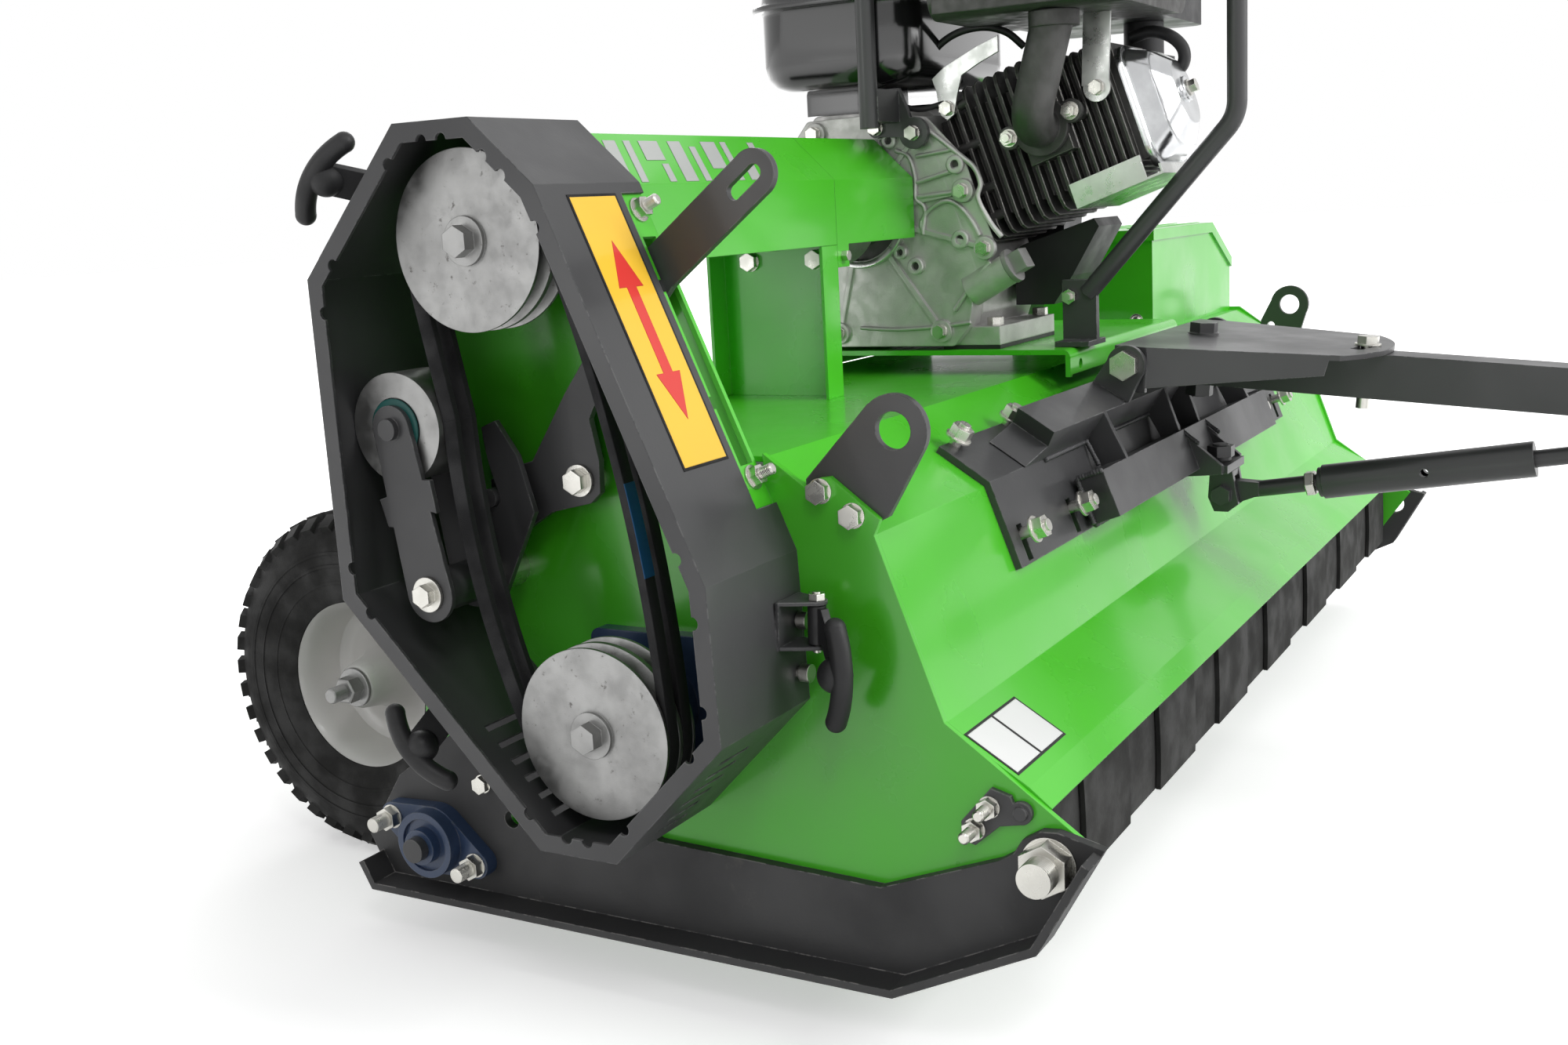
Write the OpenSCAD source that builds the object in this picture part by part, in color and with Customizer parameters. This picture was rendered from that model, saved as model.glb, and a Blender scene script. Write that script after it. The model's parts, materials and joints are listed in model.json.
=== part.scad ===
// Towed flail mower with its own petrol engine, belt case open on one end.
// Millimetres. X runs across the machine, -X is the belt side. -Y is forward,
// towards the drawbar. +Z is up and Z = 0 is the ground under the wheels.

/* [Deck] */
// Width over the two side plates
deck_w = 1315; // [1200:5:1420]
// Thickness of the side plates
plate_t = 5; // [4:0.5:6]
// Thickness of the folded deck sheet
shell_t = 4; // [3:0.5:5]
// Height of the flat top of the deck
top_z = 411; // [405:1:414]
// Height of the skid sole above the ground
skid_z = 40; // [34:1:44]
// Width of the outward sole of a skid
sole_w = 25; // [20:1:30]

/* [Drive] */
// Outside diameter of both pulleys
pulley_d = 125; // [118:1:130]
// Width of both pulleys
pulley_w = 35; // [33:0.5:37]
// Height of the rotor shaft
rotor_z = 226; // [222:1:230]
// Height of the drive shaft
drive_z = 570; // [568:1:572]
// Distance of the drive shaft behind the rotor shaft
drive_y = 75; // [74:0.5:76]
// Depth of the belt case
case_d = 120; // [118:1:126]
// Folded rim of the belt case
case_lip = 13; // [10:0.5:16]
// Outside diameter of the belt roller
roller_d = 80; // [76:1:81]

/* [Rotor] */
// Diameter of the rotor tube
rotor_d = 89; // [80:1:92]
// Length of a flail from its pin to its tip
flail_len = 84; // [76:1:88]
// Flails in each of the three rows
flail_n = 8; // [6:1:9]

/* [Running gear] */
// Outside diameter of the tyres
wheel_d = 330; // [324:1:334]
// Width of the tyres
wheel_w = 118; // [100:1:124]
// Distance of the wheel axle behind the rotor shaft
wheel_y = 415; // [415:1:430]
// Diameter of the rear roller
drum_d = 66; // [56:1:68]

/* [Hitch] */
// Length of the drawbar tube
bar_len = 930; // [800:10:1200]
// Section of the square drawbar tube
bar_s = 42; // [40:1:46]
// Downward slope of the drawbar as set
bar_tilt = 4.5; // [3:0.5:5]
// Half width of the hitch base plate
base_half = 441; // [430:1:450]

/* [Engine] */
// Height of the fuel tank body
tank_h = 150; // [120:5:170]
// Number of fins on the cylinder
fin_n = 9; // [7:1:10]
// Height of the guard frame above the drive shaft
guard_h = 318; // [306:2:340]

/* [Flaps] */
// Number of rubber flaps along the front
flap_n = 14; // [10:2:16]
// Hanging length of a flap
flap_h = 88; // [70:1:96]

/* [Hidden] */
$fn = 40;

// Outer faces of the side plates
xn = -deck_w / 2;
xf = deck_w / 2;

// Colours
green = [0.20, 0.68, 0.17];
dark = [0.22, 0.22, 0.23];
steel = [0.62, 0.62, 0.62];
zinc = [0.72, 0.73, 0.74];
blue = [0.12, 0.24, 0.42];
rubber = [0.10, 0.10, 0.10];
silver = [0.66, 0.67, 0.68];
chrome = [0.80, 0.81, 0.82];
rimwhite = [0.86, 0.86, 0.84];
black = [0.06, 0.06, 0.07];

// Deck section, outer side, from the rear hem over the top to the front lip
deck_pts = [[228, 142], [216, 300], [160, top_z], [-97, top_z], [-178, 358.5], [-226, 230],
  [-286, 193], [-302, 180]];

// Belt case outline in Y and Z, anticlockwise seen from the belt side
case_pts = [[drive_y + 29.3, drive_z + 79.5], [drive_y - 35.5, drive_z + 79.5],
  [drive_y - 84.7, drive_z + 33.8], [-120.7, 346.9], [-125.1, 239.6], [-34.7, 146.9],
  [30.8, 146.9], [195, 316.4], [196.5, 548.7]];
w_top = case_pts[2];
w_bot = case_pts[3];
w_len = norm(w_bot - w_top);
w_ang = atan2(w_bot[1] - w_top[1], w_bot[0] - w_top[0]);

// Lever and tensioner pivots
lev_y = 48;
lev_z = 393;
pin_y = 120;
pin_z = 380;
arm_y = 131;
arm_z = 320;
axle_y = 153;
axle_z = 440;
lev_swing = 44;
arm_ratio = 0.26;
shaft_out = 46;

// Hitch centre line and pivots
hx = -16;
bolt_x = [hx - 419, hx - 306, hx + 306, hx + 419];
pit_y = -201;
pit_z = 423;
yaw_y = -229;
yaw_max = 12;
lock_r = 156;
sw_y = -247;
sw_z = 318;
ey_y = -252;
ey_z = 279;
tb_ang = 8.4;
tb_len = 367;
ear_x = 150;

// Engine places
ex = -147.5;
cyl_ang = 19;
cyl_x = -57;

function unit(v) = v / norm(v);
function perp(v) = [v[1], -v[0]];
function miter(p, i, t) =
  let (n = len(p),
    a = i > 0 ? unit(p[i] - p[i - 1]) : unit(p[1] - p[0]),
    b = i < n - 1 ? unit(p[i + 1] - p[i]) : unit(p[n - 1] - p[n - 2]),
    m = unit(perp(a) + perp(b)))
  p[i] + m * t / (m * perp(a));
function strip(p, t) = concat(p, [for (i = [len(p) - 1:-1:0]) miter(p, i, t)]);
function rot2(p, c, a) = [c[0] + (p[0] - c[0]) * cos(a) - (p[1] - c[1]) * sin(a),
  c[1] + (p[0] - c[0]) * sin(a) + (p[1] - c[1]) * cos(a)];
function along(a, b, d) = a + unit(b - a) * d;

// Direction of a leg of a path, and the length that a bend takes from it
function leg(p, i) = unit(p[i + 1] - p[i]);
function cut_back(p, i, br) = (i == 0 || i == len(p) - 1) ? 0
  : br * tan(acos(leg(p, i - 1) * leg(p, i)) / 2);

module home() translate([shift_x, shift_y, 0]) children();

// A Y-Z outline carried from x0 to x1
module slab(x0, x1) translate([x0, 0, 0]) rotate([90, 0, 90]) linear_extrude(x1 - x0) children();

// Cylinders along X and Y
module xcyl(y, z, r, x0, x1, f = 40) translate([x0, y, z]) rotate([0, 90, 0]) cylinder(r = r,
  h = x1 - x0, $fn = f);
module ycyl(x, z, r, y0, y1, f = 32) translate([x, y0, z]) rotate([-90, 0, 0]) cylinder(r = r,
  h = y1 - y0, $fn = f);
module zcyl(x, y, r, z0, z1, f = 32) translate([x, y, z0]) cylinder(r = r, h = z1 - z0, $fn = f);

// Round bar between two points
module bar(p, q, r, f = 24) {
  d = q - p;
  l = norm(d);
  translate(p) rotate([0, acos(d[2] / l), atan2(d[1], d[0])]) cylinder(r = r, h = l, $fn = f);
}

// Bolt along X: head at x, shank towards +X
module xbolt(x, y, z, af, h, r, l) {
  translate([x - h, y, z]) rotate([0, 90, 0]) cylinder(r = af / 1.732, h = h, $fn = 6);
  xcyl(y, z, af * 0.6, x - 1.5, x, 24);
  xcyl(y, z, r, x - 0.01, x + l, 20);
}

// Nut with a thread end standing towards -X from the face x
module xstud(x, y, z, af, h, r, l) {
  translate([x - h, y, z]) rotate([0, 90, 0]) cylinder(r = af / 1.732, h = h, $fn = 6);
  xcyl(y, z, af * 0.6, x - 1.6, x, 24);
  xcyl(y, z, r, x - l, x - h + 0.01, 20);
}

// The same two, pointing along a direction of the Y-Z plane
module abolt(x, y, z, a, af, h, r, l) translate([x, y, z]) rotate([a, 0, 0]) {
  cylinder(r = af / 1.732, h = h, $fn = 6);
  cylinder(r = af * 0.72, h = 1.6, $fn = 24);
  cylinder(r = r, h = l, $fn = 20);
}

// Round tube along a path, with bends of radius br
module tube(p, r, br) {
  for (i = [0:len(p) - 2])
    bar(p[i] + leg(p, i) * (cut_back(p, i, br) - (i > 0 ? 0.5 : 0)),
      p[i + 1] - leg(p, i) * (cut_back(p, i + 1, br) - (i < len(p) - 2 ? 0.5 : 0)), r);
  for (i = [1:len(p) - 2]) {
    a = leg(p, i - 1);
    b = leg(p, i);
    m = unit(b - a * (a * b));
    c = p[i] - a * cut_back(p, i, br) + m * br;
    z = cross(-m, a);
    multmatrix([[-m[0], a[0], z[0], c[0]], [-m[1], a[1], z[1], c[1]], [-m[2], a[2], z[2], c[2]],
      [0, 0, 0, 1]])
      rotate_extrude(angle = acos(a * b), $fn = 72) translate([br, 0]) circle(r = r + 0.03, $fn = 24);
  }
}

// Deck
module deck_shell() home() color(green) difference() {
  slab(xn + plate_t, xf - plate_t) polygon(strip(deck_pts, -shell_t));
  hitch_bolt_holes(5.1);
}

// Clearance holes of the eight hitch bolts
module hitch_bolt_holes(r) for (x = bolt_x) {
  translate([x, -144, 387.6]) rotate([33, 0, 0]) cylinder(r = r, h = 40, center = true, $fn = 20);
  translate([x, -204, 319.5]) rotate([69.5, 0, 0]) cylinder(r = r, h = 40, center = true, $fn = 20);
}

// Front edge of both side plates, from the lip up to the tab
side_front = [[-195, 58], [-285, 108], [-324, 163], [-228, 232.5], [-181, 360]];
side_tab = [[-186, 371], [-149, 399], [-141, 398], [-131, 390]];
side_rear = [[240, 60], [240, 160], [228, 304]];

eye_bolts = [[-141.5, 389], [-166, 373]];
tri_bolts = [[-261, 179], [-250, 162]];
roller_y = 224;
roller_z = 88;
bear_a = 19.4;
rod_y = -283;
rod_z = 177;

module plate_holes(x0, x1) {
  xcyl(0, rotor_z, 34, x0, x1);
  xcyl(150, 112, 7, x0, x1, 24);
  xcyl(roller_y, roller_z, 15, x0, x1);
  for (p = eye_bolts) xcyl(p[0], p[1], 5.1, x0, x1, 20);
  for (p = tri_bolts) xcyl(p[0], p[1], 4.1, x0, x1, 20);
  xcyl(rod_y, rod_z, 5.1, x0, x1, 24);
}

module side_plate_near() home() color(green) {
  difference() {
    slab(xn, xn + plate_t) difference() {
      polygon(concat(side_front, side_tab, [[-97, 414]],
        [along(w_bot, w_top, 40) + [6.6, -2.8], w_top + [7, -5], [drive_y - 34, drive_z + 76],
         [drive_y + 28, drive_z + 76], [192, 547], [192, 320]],
        [[228, 304], [240, 160], [240, 60]]));
      translate([drive_y, drive_z]) circle(r = 26);
    }
    plate_holes(xn - 1, xn + plate_t + 1);
    xcyl(lev_y, lev_z, 8.05, xn - 1, xn + plate_t + 1);
    xcyl(arm_y, arm_z, 10.05, xn - 1, xn + plate_t + 1);
  }
  // Folded guide under the sloping wall, with the slot of the lever
  difference() {
    translate([xn - 44, w_top[0], w_top[1]]) rotate([w_ang, 0, 0]) translate([0, 4, 2.8])
      cube([44.1, w_len - 40, 4]);
    translate([xn - 20, w_top[0], w_top[1]]) rotate([w_ang, 0, 0]) translate([0, 40, 1]) cube([16, 172, 8]);
    for (s = [72, 160])
      translate([xn - 27, w_top[0], w_top[1]]) rotate([w_ang, 0, 0]) translate([0, s, 1]) cube([8, 9, 8]);
    for (s = guide_studs)
      translate([xn - 12, w_top[0], w_top[1]]) rotate([w_ang, 0, 0]) translate([0, s, 1])
        cylinder(r = 4.1, h = 8, $fn = 20);
  }
}
guide_studs = [20, 222];

module side_plate_far() home() color(green) difference() {
  slab(xf - plate_t, xf)
    polygon(concat(side_front, side_tab, [[-97, 415]], [[162, 415], [228, 304], [240, 160], [240, 60]]));
  plate_holes(xf - plate_t - 1, xf + 1);
}

// Skid: upright plate with its sole turned outwards
skid_pts = [[286, skid_z], [306, 77], [266, 135], [203, 179], [160, 207], [110, 207], [20, 119], [8, 115],
  [-178, 109], [-268, 143], [-279, 150], [-285, 160], [-298, 168], [-310, 169], [-342, 161], [-303, 92],
    [-196, skid_z]];
sole_pts = [[298, 62], [286, skid_z], [-196, skid_z], [-303, 92], [-340, 157]];

module skid(x0, x1, s0, s1) difference() {
  union() {
    slab(x0, x1) polygon(skid_pts);
    slab(s0, s1) polygon(strip([for (i = [4:-1:0]) sole_pts[i]], -6));
  }
  xcyl(150, 112, 7, x0 - 1, x1 + 1, 24);
  xcyl(roller_y, roller_z, 16, x0 - 1, x1 + 1);
  xcyl(176, 139, 4.1, x0 - 1, x1 + 1, 20);
  xcyl(-304, 146, 12.1, x0 - 1, x1 + 1, 24);
  for (s = [-1, 1])
    xcyl(roller_y + s * 45 * cos(bear_a), roller_z + s * 45 * sin(bear_a), 6.1, x0 - 1, x1 + 1, 20);
}

module skids() home() color(dark) {
  skid(xn - 8, xn, xn - 8 - sole_w, xn - 7.9);
  skid(xf, xf + 8, xf + 7.9, xf + 8 + sole_w);
}

// Belt case
module wall_frame(d) translate([0, w_top[0], w_top[1]]) rotate([w_ang + 180, 0, 0]) translate([0, -d, 0])
  children();

// Bracket of a rubber latch: foot on the wall, two ears, bore along the wall
module latch_bracket(l) {
  w = unit(l[2]);
  n = cross(w, [1, 0, 0]) * (cross(w, [1, 0, 0]) * [0, l[0][1] - 30, l[0][2] - 380] > 0 ? 1 : -1);
  o = l[0];
  multmatrix([[1, n[0], w[0], o[0]], [0, n[1], w[1], o[1]], [0, n[2], w[2], o[2]], [0, 0, 0, 1]]) {
    translate([-20, -l[3], -17]) cube([34, 2.5, 34]);
    for (z = [-17, 14.5]) translate([0, 0, z]) difference() {
      linear_extrude(2.5) union() {
        polygon([[-20, -l[3]], [14, -l[3]], [7, 2], [-7, 3]]);
        circle(r = 7.5);
      }
      translate([0, 0, -1]) cylinder(r = 3.05, h = 6, $fn = 24);
    }
  }
}

module belt_case() home() color(dark) {
  difference() {
    union() {
      slab(xn - case_d, xn) difference() {
        polygon(case_pts);
        offset(delta = -2.5) polygon(case_pts);
      }
      slab(xn - case_d, xn - case_d + 2.5) difference() {
        polygon(case_pts);
        offset(delta = -case_lip) polygon(case_pts);
      }
      for (p = latches) latch_bracket(p);
    }
    // Window that shows the guide of the side plate
    translate([xn - 27.5, w_top[0], w_top[1]]) rotate([w_ang, 0, 0])
      translate([0, 8, -12]) cube([32, w_len - 44, 24]);
    // Relief notches at the corners of the rim
    for (i = [0:8]) {
      p = case_pts[i];
      q = case_pts[(i + 1) % 9];
      a = atan2(q[1] - p[1], q[0] - p[0]);
      for (s = [24, norm(q - p) - 24])
        translate([xn - case_d - 1, p[0], p[1]]) rotate([a, 0, 0]) translate([0, s, case_lip])
          rotate([0, 90, 0]) cylinder(r = 4.5, h = 5, $fn = 16);
    }
    // Cooling slots low in the case
    for (k = [0:5]) {
      translate([xn - 70, 44 + k * 11, 160 + k * 11.4]) rotate([46, 0, 0]) cube([38, 5, 30], center = true);
      translate([xn - 70, -48 - k * 11, 160 + k * 11.4]) rotate([-46, 0, 0]) cube([38, 5, 30],
        center = true);
    }
    for (z = [262, 300]) ycyl(xn - 12, z, 4.1, -140, -110, 20);
  }
}

// Plate under the sloping wall with the lever's slot
// Drive tunnel
hood = [[-60, -24], [-60, 33], [-20, 72], [20, 72], [60, 33], [60, -24]];
function hood_at(t) = [for (p = hood) p + [drive_y, drive_z]];

module drive_tunnel() home() color(green) difference() {
  slab(xn + plate_t, -317) polygon(strip([for (i = [0:5]) hood_at(0)[i]], 3));
}

module clutch_cover() home() color(green) {
  slab(-316.5, ex - 5.5) polygon(strip([for (i = [0:5]) hood_at(0)[i]], 3));
  translate([-316.5, drive_y - 60, drive_z - 44]) cube([22, 3, 22]);
}

module tunnel_bracket() home() color(green) difference() {
  union() {
    slab(-320.5, -317) difference() {
      polygon([[drive_y - 60, top_z], [drive_y - 60, drive_z - 24.2], [drive_y - 56, drive_z - 24.2],
        [drive_y - 56, drive_z + 26], [drive_y - 22, drive_z + 62], [drive_y + 22, drive_z + 62],
        [drive_y + 56, drive_z + 26], [drive_y + 56, drive_z - 24.2], [drive_y + 60, drive_z - 24.2],
          [drive_y + 60, top_z]]);
      translate([drive_y, drive_z]) circle(r = 27);
    }
    for (y = [drive_y - 60, drive_y + 57])
      translate([-346, y, top_z]) cube([29, 3, drive_z - 24.2 - top_z]);
  }
  for (y = [drive_y - 40, drive_y + 28]) xcyl(y, 534, 5.1, -330, -310, 20);
}

// Platform and box
module engine_platform() home() color(green) difference() {
  slab(-149, 205) difference() {
    hull() {
      translate([-132, 427]) circle(r = 8);
      translate([162, 427]) circle(r = 8);
      translate([-140, top_z - 2]) square([310, 2]);
    }
    translate([-135, top_z - 5]) square([300, 24]);
  }
  // Open ends below the fold
  for (x = [-144, 20])
    translate([x, -150, top_z - 10]) cube([172, 340, 10]);
  for (x = [-120, 150]) ycyl(x, 419, 5, -150, -130, 16);
}

module battery_box() home() color(green) {
  x0 = 297;
  x1 = xf - plate_t - 0.3;
  y0 = -84;
  y1 = 96;
  h = 122;
  lip = 13;
  difference() {
    union() {
      translate([0, y1, 0]) rotate([90, 0, 0]) linear_extrude(y1 - y0)
        polygon([[x0, top_z], [x1, top_z], [x1, top_z + h - 54], [x1 - 98, top_z + h - 2], [x0, top_z + h - 2]]);
      // Lid with its folded lip
      translate([0, y1 + 3, 0]) rotate([90, 0, 0]) linear_extrude(y1 - y0 + 6)
        polygon([[x0 - 3, top_z + h - lip], [x0 - 3, top_z + h], [x1 - 97, top_z + h], [x1, top_z + h - 50],
          [x1, top_z + h - 50 - lip], [x1 - 100, top_z + h - lip]]);
    }
    translate([0, y1 - 2.5, 0]) rotate([90, 0, 0]) linear_extrude(y1 - y0 - 5)
      polygon([[x0 + 2.5, top_z - 1], [x1 - 2.5, top_z - 1], [x1 - 2.5, top_z + h - 56],
        [x1 - 99, top_z + h - 5], [x0 + 2.5, top_z + h - 5]]);
  }
}

// Lifting eyes
module eye(x0, x1, dy, dz) difference() {
  slab(x0, x1) union() {
    translate([-196 + dy, 431 + dz]) circle(r = 25);
    polygon([[-218 + dy, 419 + dz], [-190 + dy / 2.5, 372], [-172, 362.9], [-170, 364.5], [-128, 391.4],
      [-128, 396], [-178 + dy, 449 + dz]]);
  }
  xcyl(-196 + dy, 431 + dz, 13, x0 - 1, x1 + 1);
  for (p = eye_bolts) xcyl(p[0], p[1], 5.1, x0 - 1, x1 + 1, 20);
}

module lifting_eyes() home() color(dark) {
  eye(xn + plate_t, xn + plate_t + 6, 0, 0);
  eye(xf - plate_t - 6, xf - plate_t, 30, -14);
}

// Hitch
ridge = deck_pts[4];
slope_u = unit(deck_pts[3] - ridge);
steep_u = unit(deck_pts[5] - ridge);
base_line = [ridge + slope_u * 48, ridge, ridge + steep_u * 70];

module hitch_base() home() color(dark) difference() {
  slab(hx - base_half, hx + base_half) polygon(strip(base_line, 6));
  for (x = bolt_x) {
    translate([x, -144, 387.6]) rotate([33, 0, 0]) cylinder(r = 5.1, h = 40, center = true, $fn = 20);
    translate([x, -204, 319.5]) rotate([-20.5, 0, 0]) translate([-5.1, -20, -22]) cube([10.2, 40, 30]);
  }
}

module hitch_frame() home() color(dark) {
  // Upper beam with its sloping ends
  difference() {
    slab(hx - 391, hx + 391) polygon([[-153.5, 382.5], [-184.5, 362.5], [-201, 388], [-170, 408]]);
    for (s = [-1, 1])
      translate([hx + s * 391, -150, 370]) rotate([33, 0, 0]) rotate([0, s * 25, 0])
        translate([-60, -90, 2]) cube([120, 180, 90]);
  }
  // Lower beam
  slab(hx - 284, hx + 284) polygon([[-198, 339], [-213, 299.5], [-236, 308], [-221, 347.5]]);
  // Outer gussets and the two middle ones
  for (x = [hx - 219, hx + 213])
    slab(x, x + 6) polygon([[-184, 366], [-201, 388], [-221, 347.5], [-198, 339]]);
  for (x = [hx - 38, hx + 32])
    slab(x, x + 6) polygon([[-184.5, 362.5], [-201, 388], [-216, 346], [-258, 312], [-258, 303],
      [-213, 299.5], [-198, 339]]);
  // Seat of the swivel
  difference() {
    translate([hx - 32.1, -262, 303]) cube([64.2, 46, 8]);
    zcyl(hx, sw_y, 8.05, 300, 315);
  }
  // Ears of the pitch hinge
  for (x = [hx - ear_x - 6, hx + ear_x])
    difference() {
      slab(x, x + 6) union() {
        translate([pit_y, pit_z]) circle(r = 18);
        polygon([[-216, 414], [-203, 388], [-170, 408], [-190, 437]]);
      }
      xcyl(pit_y, pit_z, 8.05, x - 1, x + 7);
    }
}

// Parts that tilt with the drawbar are drawn level and set down by bar_tilt
module tilted() translate([0, pit_y, pit_z]) rotate([bar_tilt, 0, 0]) translate([0, -pit_y, -pit_z])
  children();

module hitch_plate() home() color(dark) tilted() {
  half = ear_x - 6;
  edge_a = atan2(57.5, 204);
  difference() {
    union() {
      translate([0, 0, pit_z + 11]) linear_extrude(5) intersection() {
        polygon([[hx - half, -186], [hx + half, -186], [hx + half, -216], [hx + 86.5, -420],
          [hx - 86.5, -420], [hx - half, -216]]);
        translate([hx, -221.5]) circle(r = 185.5, $fn = 160);
      }
      // Side cheeks and the folded edges that run forward from them
      for (s = [-1, 1]) {
        slab(min(hx + s * half, hx + s * (half - 6)), max(hx + s * half, hx + s * (half - 6)))
          polygon([[-186, pit_z + 11.1], [-186, pit_z - 14], [-196, pit_z - 26], [-217, pit_z - 26],
            [-217, pit_z + 11.1]]);
        translate([hx + s * half, -216, 0]) rotate([0, 0, -s * edge_a]) translate([s < 0 ? 0 : -6, -160, 0])
          rotate([90, 0, 90]) linear_extrude(6)
            polygon([[160.5, pit_z - 22], [160.5, pit_z + 11.1], [0, pit_z + 11.1], [3, pit_z - 3]]);
      }
    }
    xcyl(pit_y, pit_z, 8.05, hx - 170, hx + 170);
    // Curved slot of the clamp bolt
    translate([hx, yaw_y, pit_z]) rotate([0, 0, -90 - yaw_max]) rotate_extrude(angle = 2 * yaw_max,
      $fn = 120)
      translate([lock_r - 6.5, 0]) square([13, 40]);
    for (a = [-yaw_max, yaw_max])
      translate([hx, yaw_y, pit_z]) rotate([0, 0, a]) translate([0, -lock_r, 0]) cylinder(r = 6.5,
        h = 40, $fn = 32);
  }
  // Swivel bolt of the drawbar
  zcyl(hx, yaw_y, 8, bar_top - bar_s - 14, pit_z + 16.1);
  zcyl(hx, yaw_y, 15, pit_z + 15.9, pit_z + 18, 32);
  translate([hx, yaw_y, pit_z + 15.9]) cylinder(r = 13.8, h = 12, $fn = 6);
  translate([hx, yaw_y, bar_top - bar_s - 13]) cylinder(r = 13.8, h = 12.7, $fn = 6);
}

bar_top = pit_z + 10.7;
bar_y0 = yaw_y + 24;
module drawbar() home() color(dark) tilted() {
  difference() {
    union() {
      translate([hx - bar_s / 2, bar_y0 - bar_len, bar_top - bar_s]) cube([bar_s, bar_len, bar_s]);
      // Clevis at the front end
      for (z = [bar_top - bar_s - 8, bar_top - 0.01])
        translate([0, 0, z]) linear_extrude(8.01) union() {
          translate([hx - 30, bar_y0 - bar_len - 40]) square([60, 130]);
          translate([hx, bar_y0 - bar_len - 40]) circle(r = 30);
        }
    }
    translate([hx - bar_s / 2 + 4, bar_y0 - bar_len - 1, bar_top - bar_s + 4])
      cube([bar_s - 8, bar_len + 2, bar_s - 8]);
    zcyl(hx, yaw_y, 8.05, bar_top - bar_s - 1, bar_top + 1);
    zcyl(hx, yaw_y - lock_r, 6.05, bar_top - bar_s - 1, bar_top + 1);
    zcyl(hx, bar_y0 - bar_len - 40, 9.6, bar_top - bar_s - 20, bar_top + 20);
  }
}

// Front pin of the turnbuckle, as it stands and in the level frame of the drawbar
tb_u = [-cos(tb_ang), sin(tb_ang)];
lug = [ey_y, ey_z] + tb_len * tb_u;
lug_l = rot2(lug, [pit_y, pit_z], -bar_tilt);

// Two plates under the drawbar tube that hold the front pin of the turnbuckle
module drawbar_lug() home() color(dark) tilted() for (s = [-1, 1])
  slab(hx + s * 15 - 3, hx + s * 15 + 3) difference() {
    polygon([[-590, bar_top - bar_s], [-640, bar_top - bar_s], [-632, lug_l[1] - 16], [-604, lug_l[1] - 16]]);
    translate([lug_l[0], lug_l[1]]) circle(r = 6.05, $fn = 32);
  }

module lock_bolt() home() color(zinc) tilted() {
  // Pin of the lug
  xcyl(lug_l[0], lug_l[1], 6, hx - 24, hx + 24, 32);
  zcyl(hx, yaw_y - lock_r, 6, bar_top - bar_s - 12, pit_z + 16.3);
  zcyl(hx, yaw_y - lock_r, 12, pit_z + 16.2, pit_z + 18.2, 32);
  translate([hx, yaw_y - lock_r, pit_z + 16.2]) cylinder(r = 10.4, h = 9, $fn = 6);
}

module tb_at(d) translate([hx, ey_y + d * tb_u[0], ey_z + d * tb_u[1]]) rotate([90 - tb_ang, 0, 0])
  children();

module turnbuckle_swivel() home() color(dark) {
  for (s = [-1, 1])
    slab(hx + s * 12 - 3, hx + s * 12 + 3)
      polygon([[-240, 302.7], [-262, 302.7], [-268, 270], [-258, 262], [-244, 262], [-238, 276]]);
  translate([hx - 15, -262, 296.7]) cube([30, 22, 6]);
  xcyl(ey_y, ey_z, 6, hx - 22, hx + 22, 32);
  for (s = [-1, 1]) translate([hx + s * 19 - 4, ey_y, ey_z]) rotate([0, 90, 0]) cylinder(r = 10.4, h = 8,
    $fn = 6);
  zcyl(hx, sw_y, 8, 302, 328);
  zcyl(hx, sw_y, 10.5, 311.3, 315.5);
  translate([hx, sw_y, 315.4]) cylinder(r = 13.8, h = 11, $fn = 6);
}

module turnbuckle_eye() home() color(dark) difference() {
  union() {
    slab(hx - 8, hx + 8) union() {
      translate([ey_y, ey_z]) circle(r = 14);
      polygon([[ey_y, ey_z - 14], [ey_y, ey_z + 14], [ey_y - 34, ey_z + 12], [ey_y - 34, ey_z - 1]]);
    }
    tb_at(26) cylinder(r = 8, h = 96, $fn = 24);
  }
  xcyl(ey_y, ey_z, 6.05, hx - 20, hx + 20);
}

module turnbuckle_tube() home() color(dark) difference() {
  union() {
    tb_at(92) cylinder(r = 14.5, h = 12, $fn = 32);
    tb_at(96) cylinder(r = 16.5, h = 188, $fn = 40);
  }
  tb_at(80) cylinder(r = 8.05, h = 230, $fn = 24);
  tb_at(190) rotate([0, 90, 0]) cylinder(r = 4, h = 50, center = true, $fn = 20);
}

module turnbuckle_rod() home() color(dark) difference() {
  union() {
    tb_at(252) cylinder(r = 8, h = tb_len - 252 - 10, $fn = 24);
    translate([hx - 8, lug[0], lug[1]]) rotate([0, 90, 0]) cylinder(r = 15, h = 16, $fn = 32);
  }
  xcyl(lug[0], lug[1], 7.9, hx - 20, hx + 20);
}

// Front flaps
module flap_rod() home() color(dark) {
  xcyl(rod_y, rod_z, 5, xn - 6, xf + 6, 24);
  for (x = [xn - 4, xf])
    difference() {
      slab(x, x + 4) union() {
        polygon([[-240, 166], [-262, 192], [-276, 188], [rod_y, rod_z - 8], [-268, 166], [-250, 150],
          [-240, 152]]);
        translate([rod_y, rod_z]) circle(r = 8);
      }
      for (p = tri_bolts) xcyl(p[0], p[1], 4.1, x - 1, x + 5, 20);
    }
}

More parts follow.
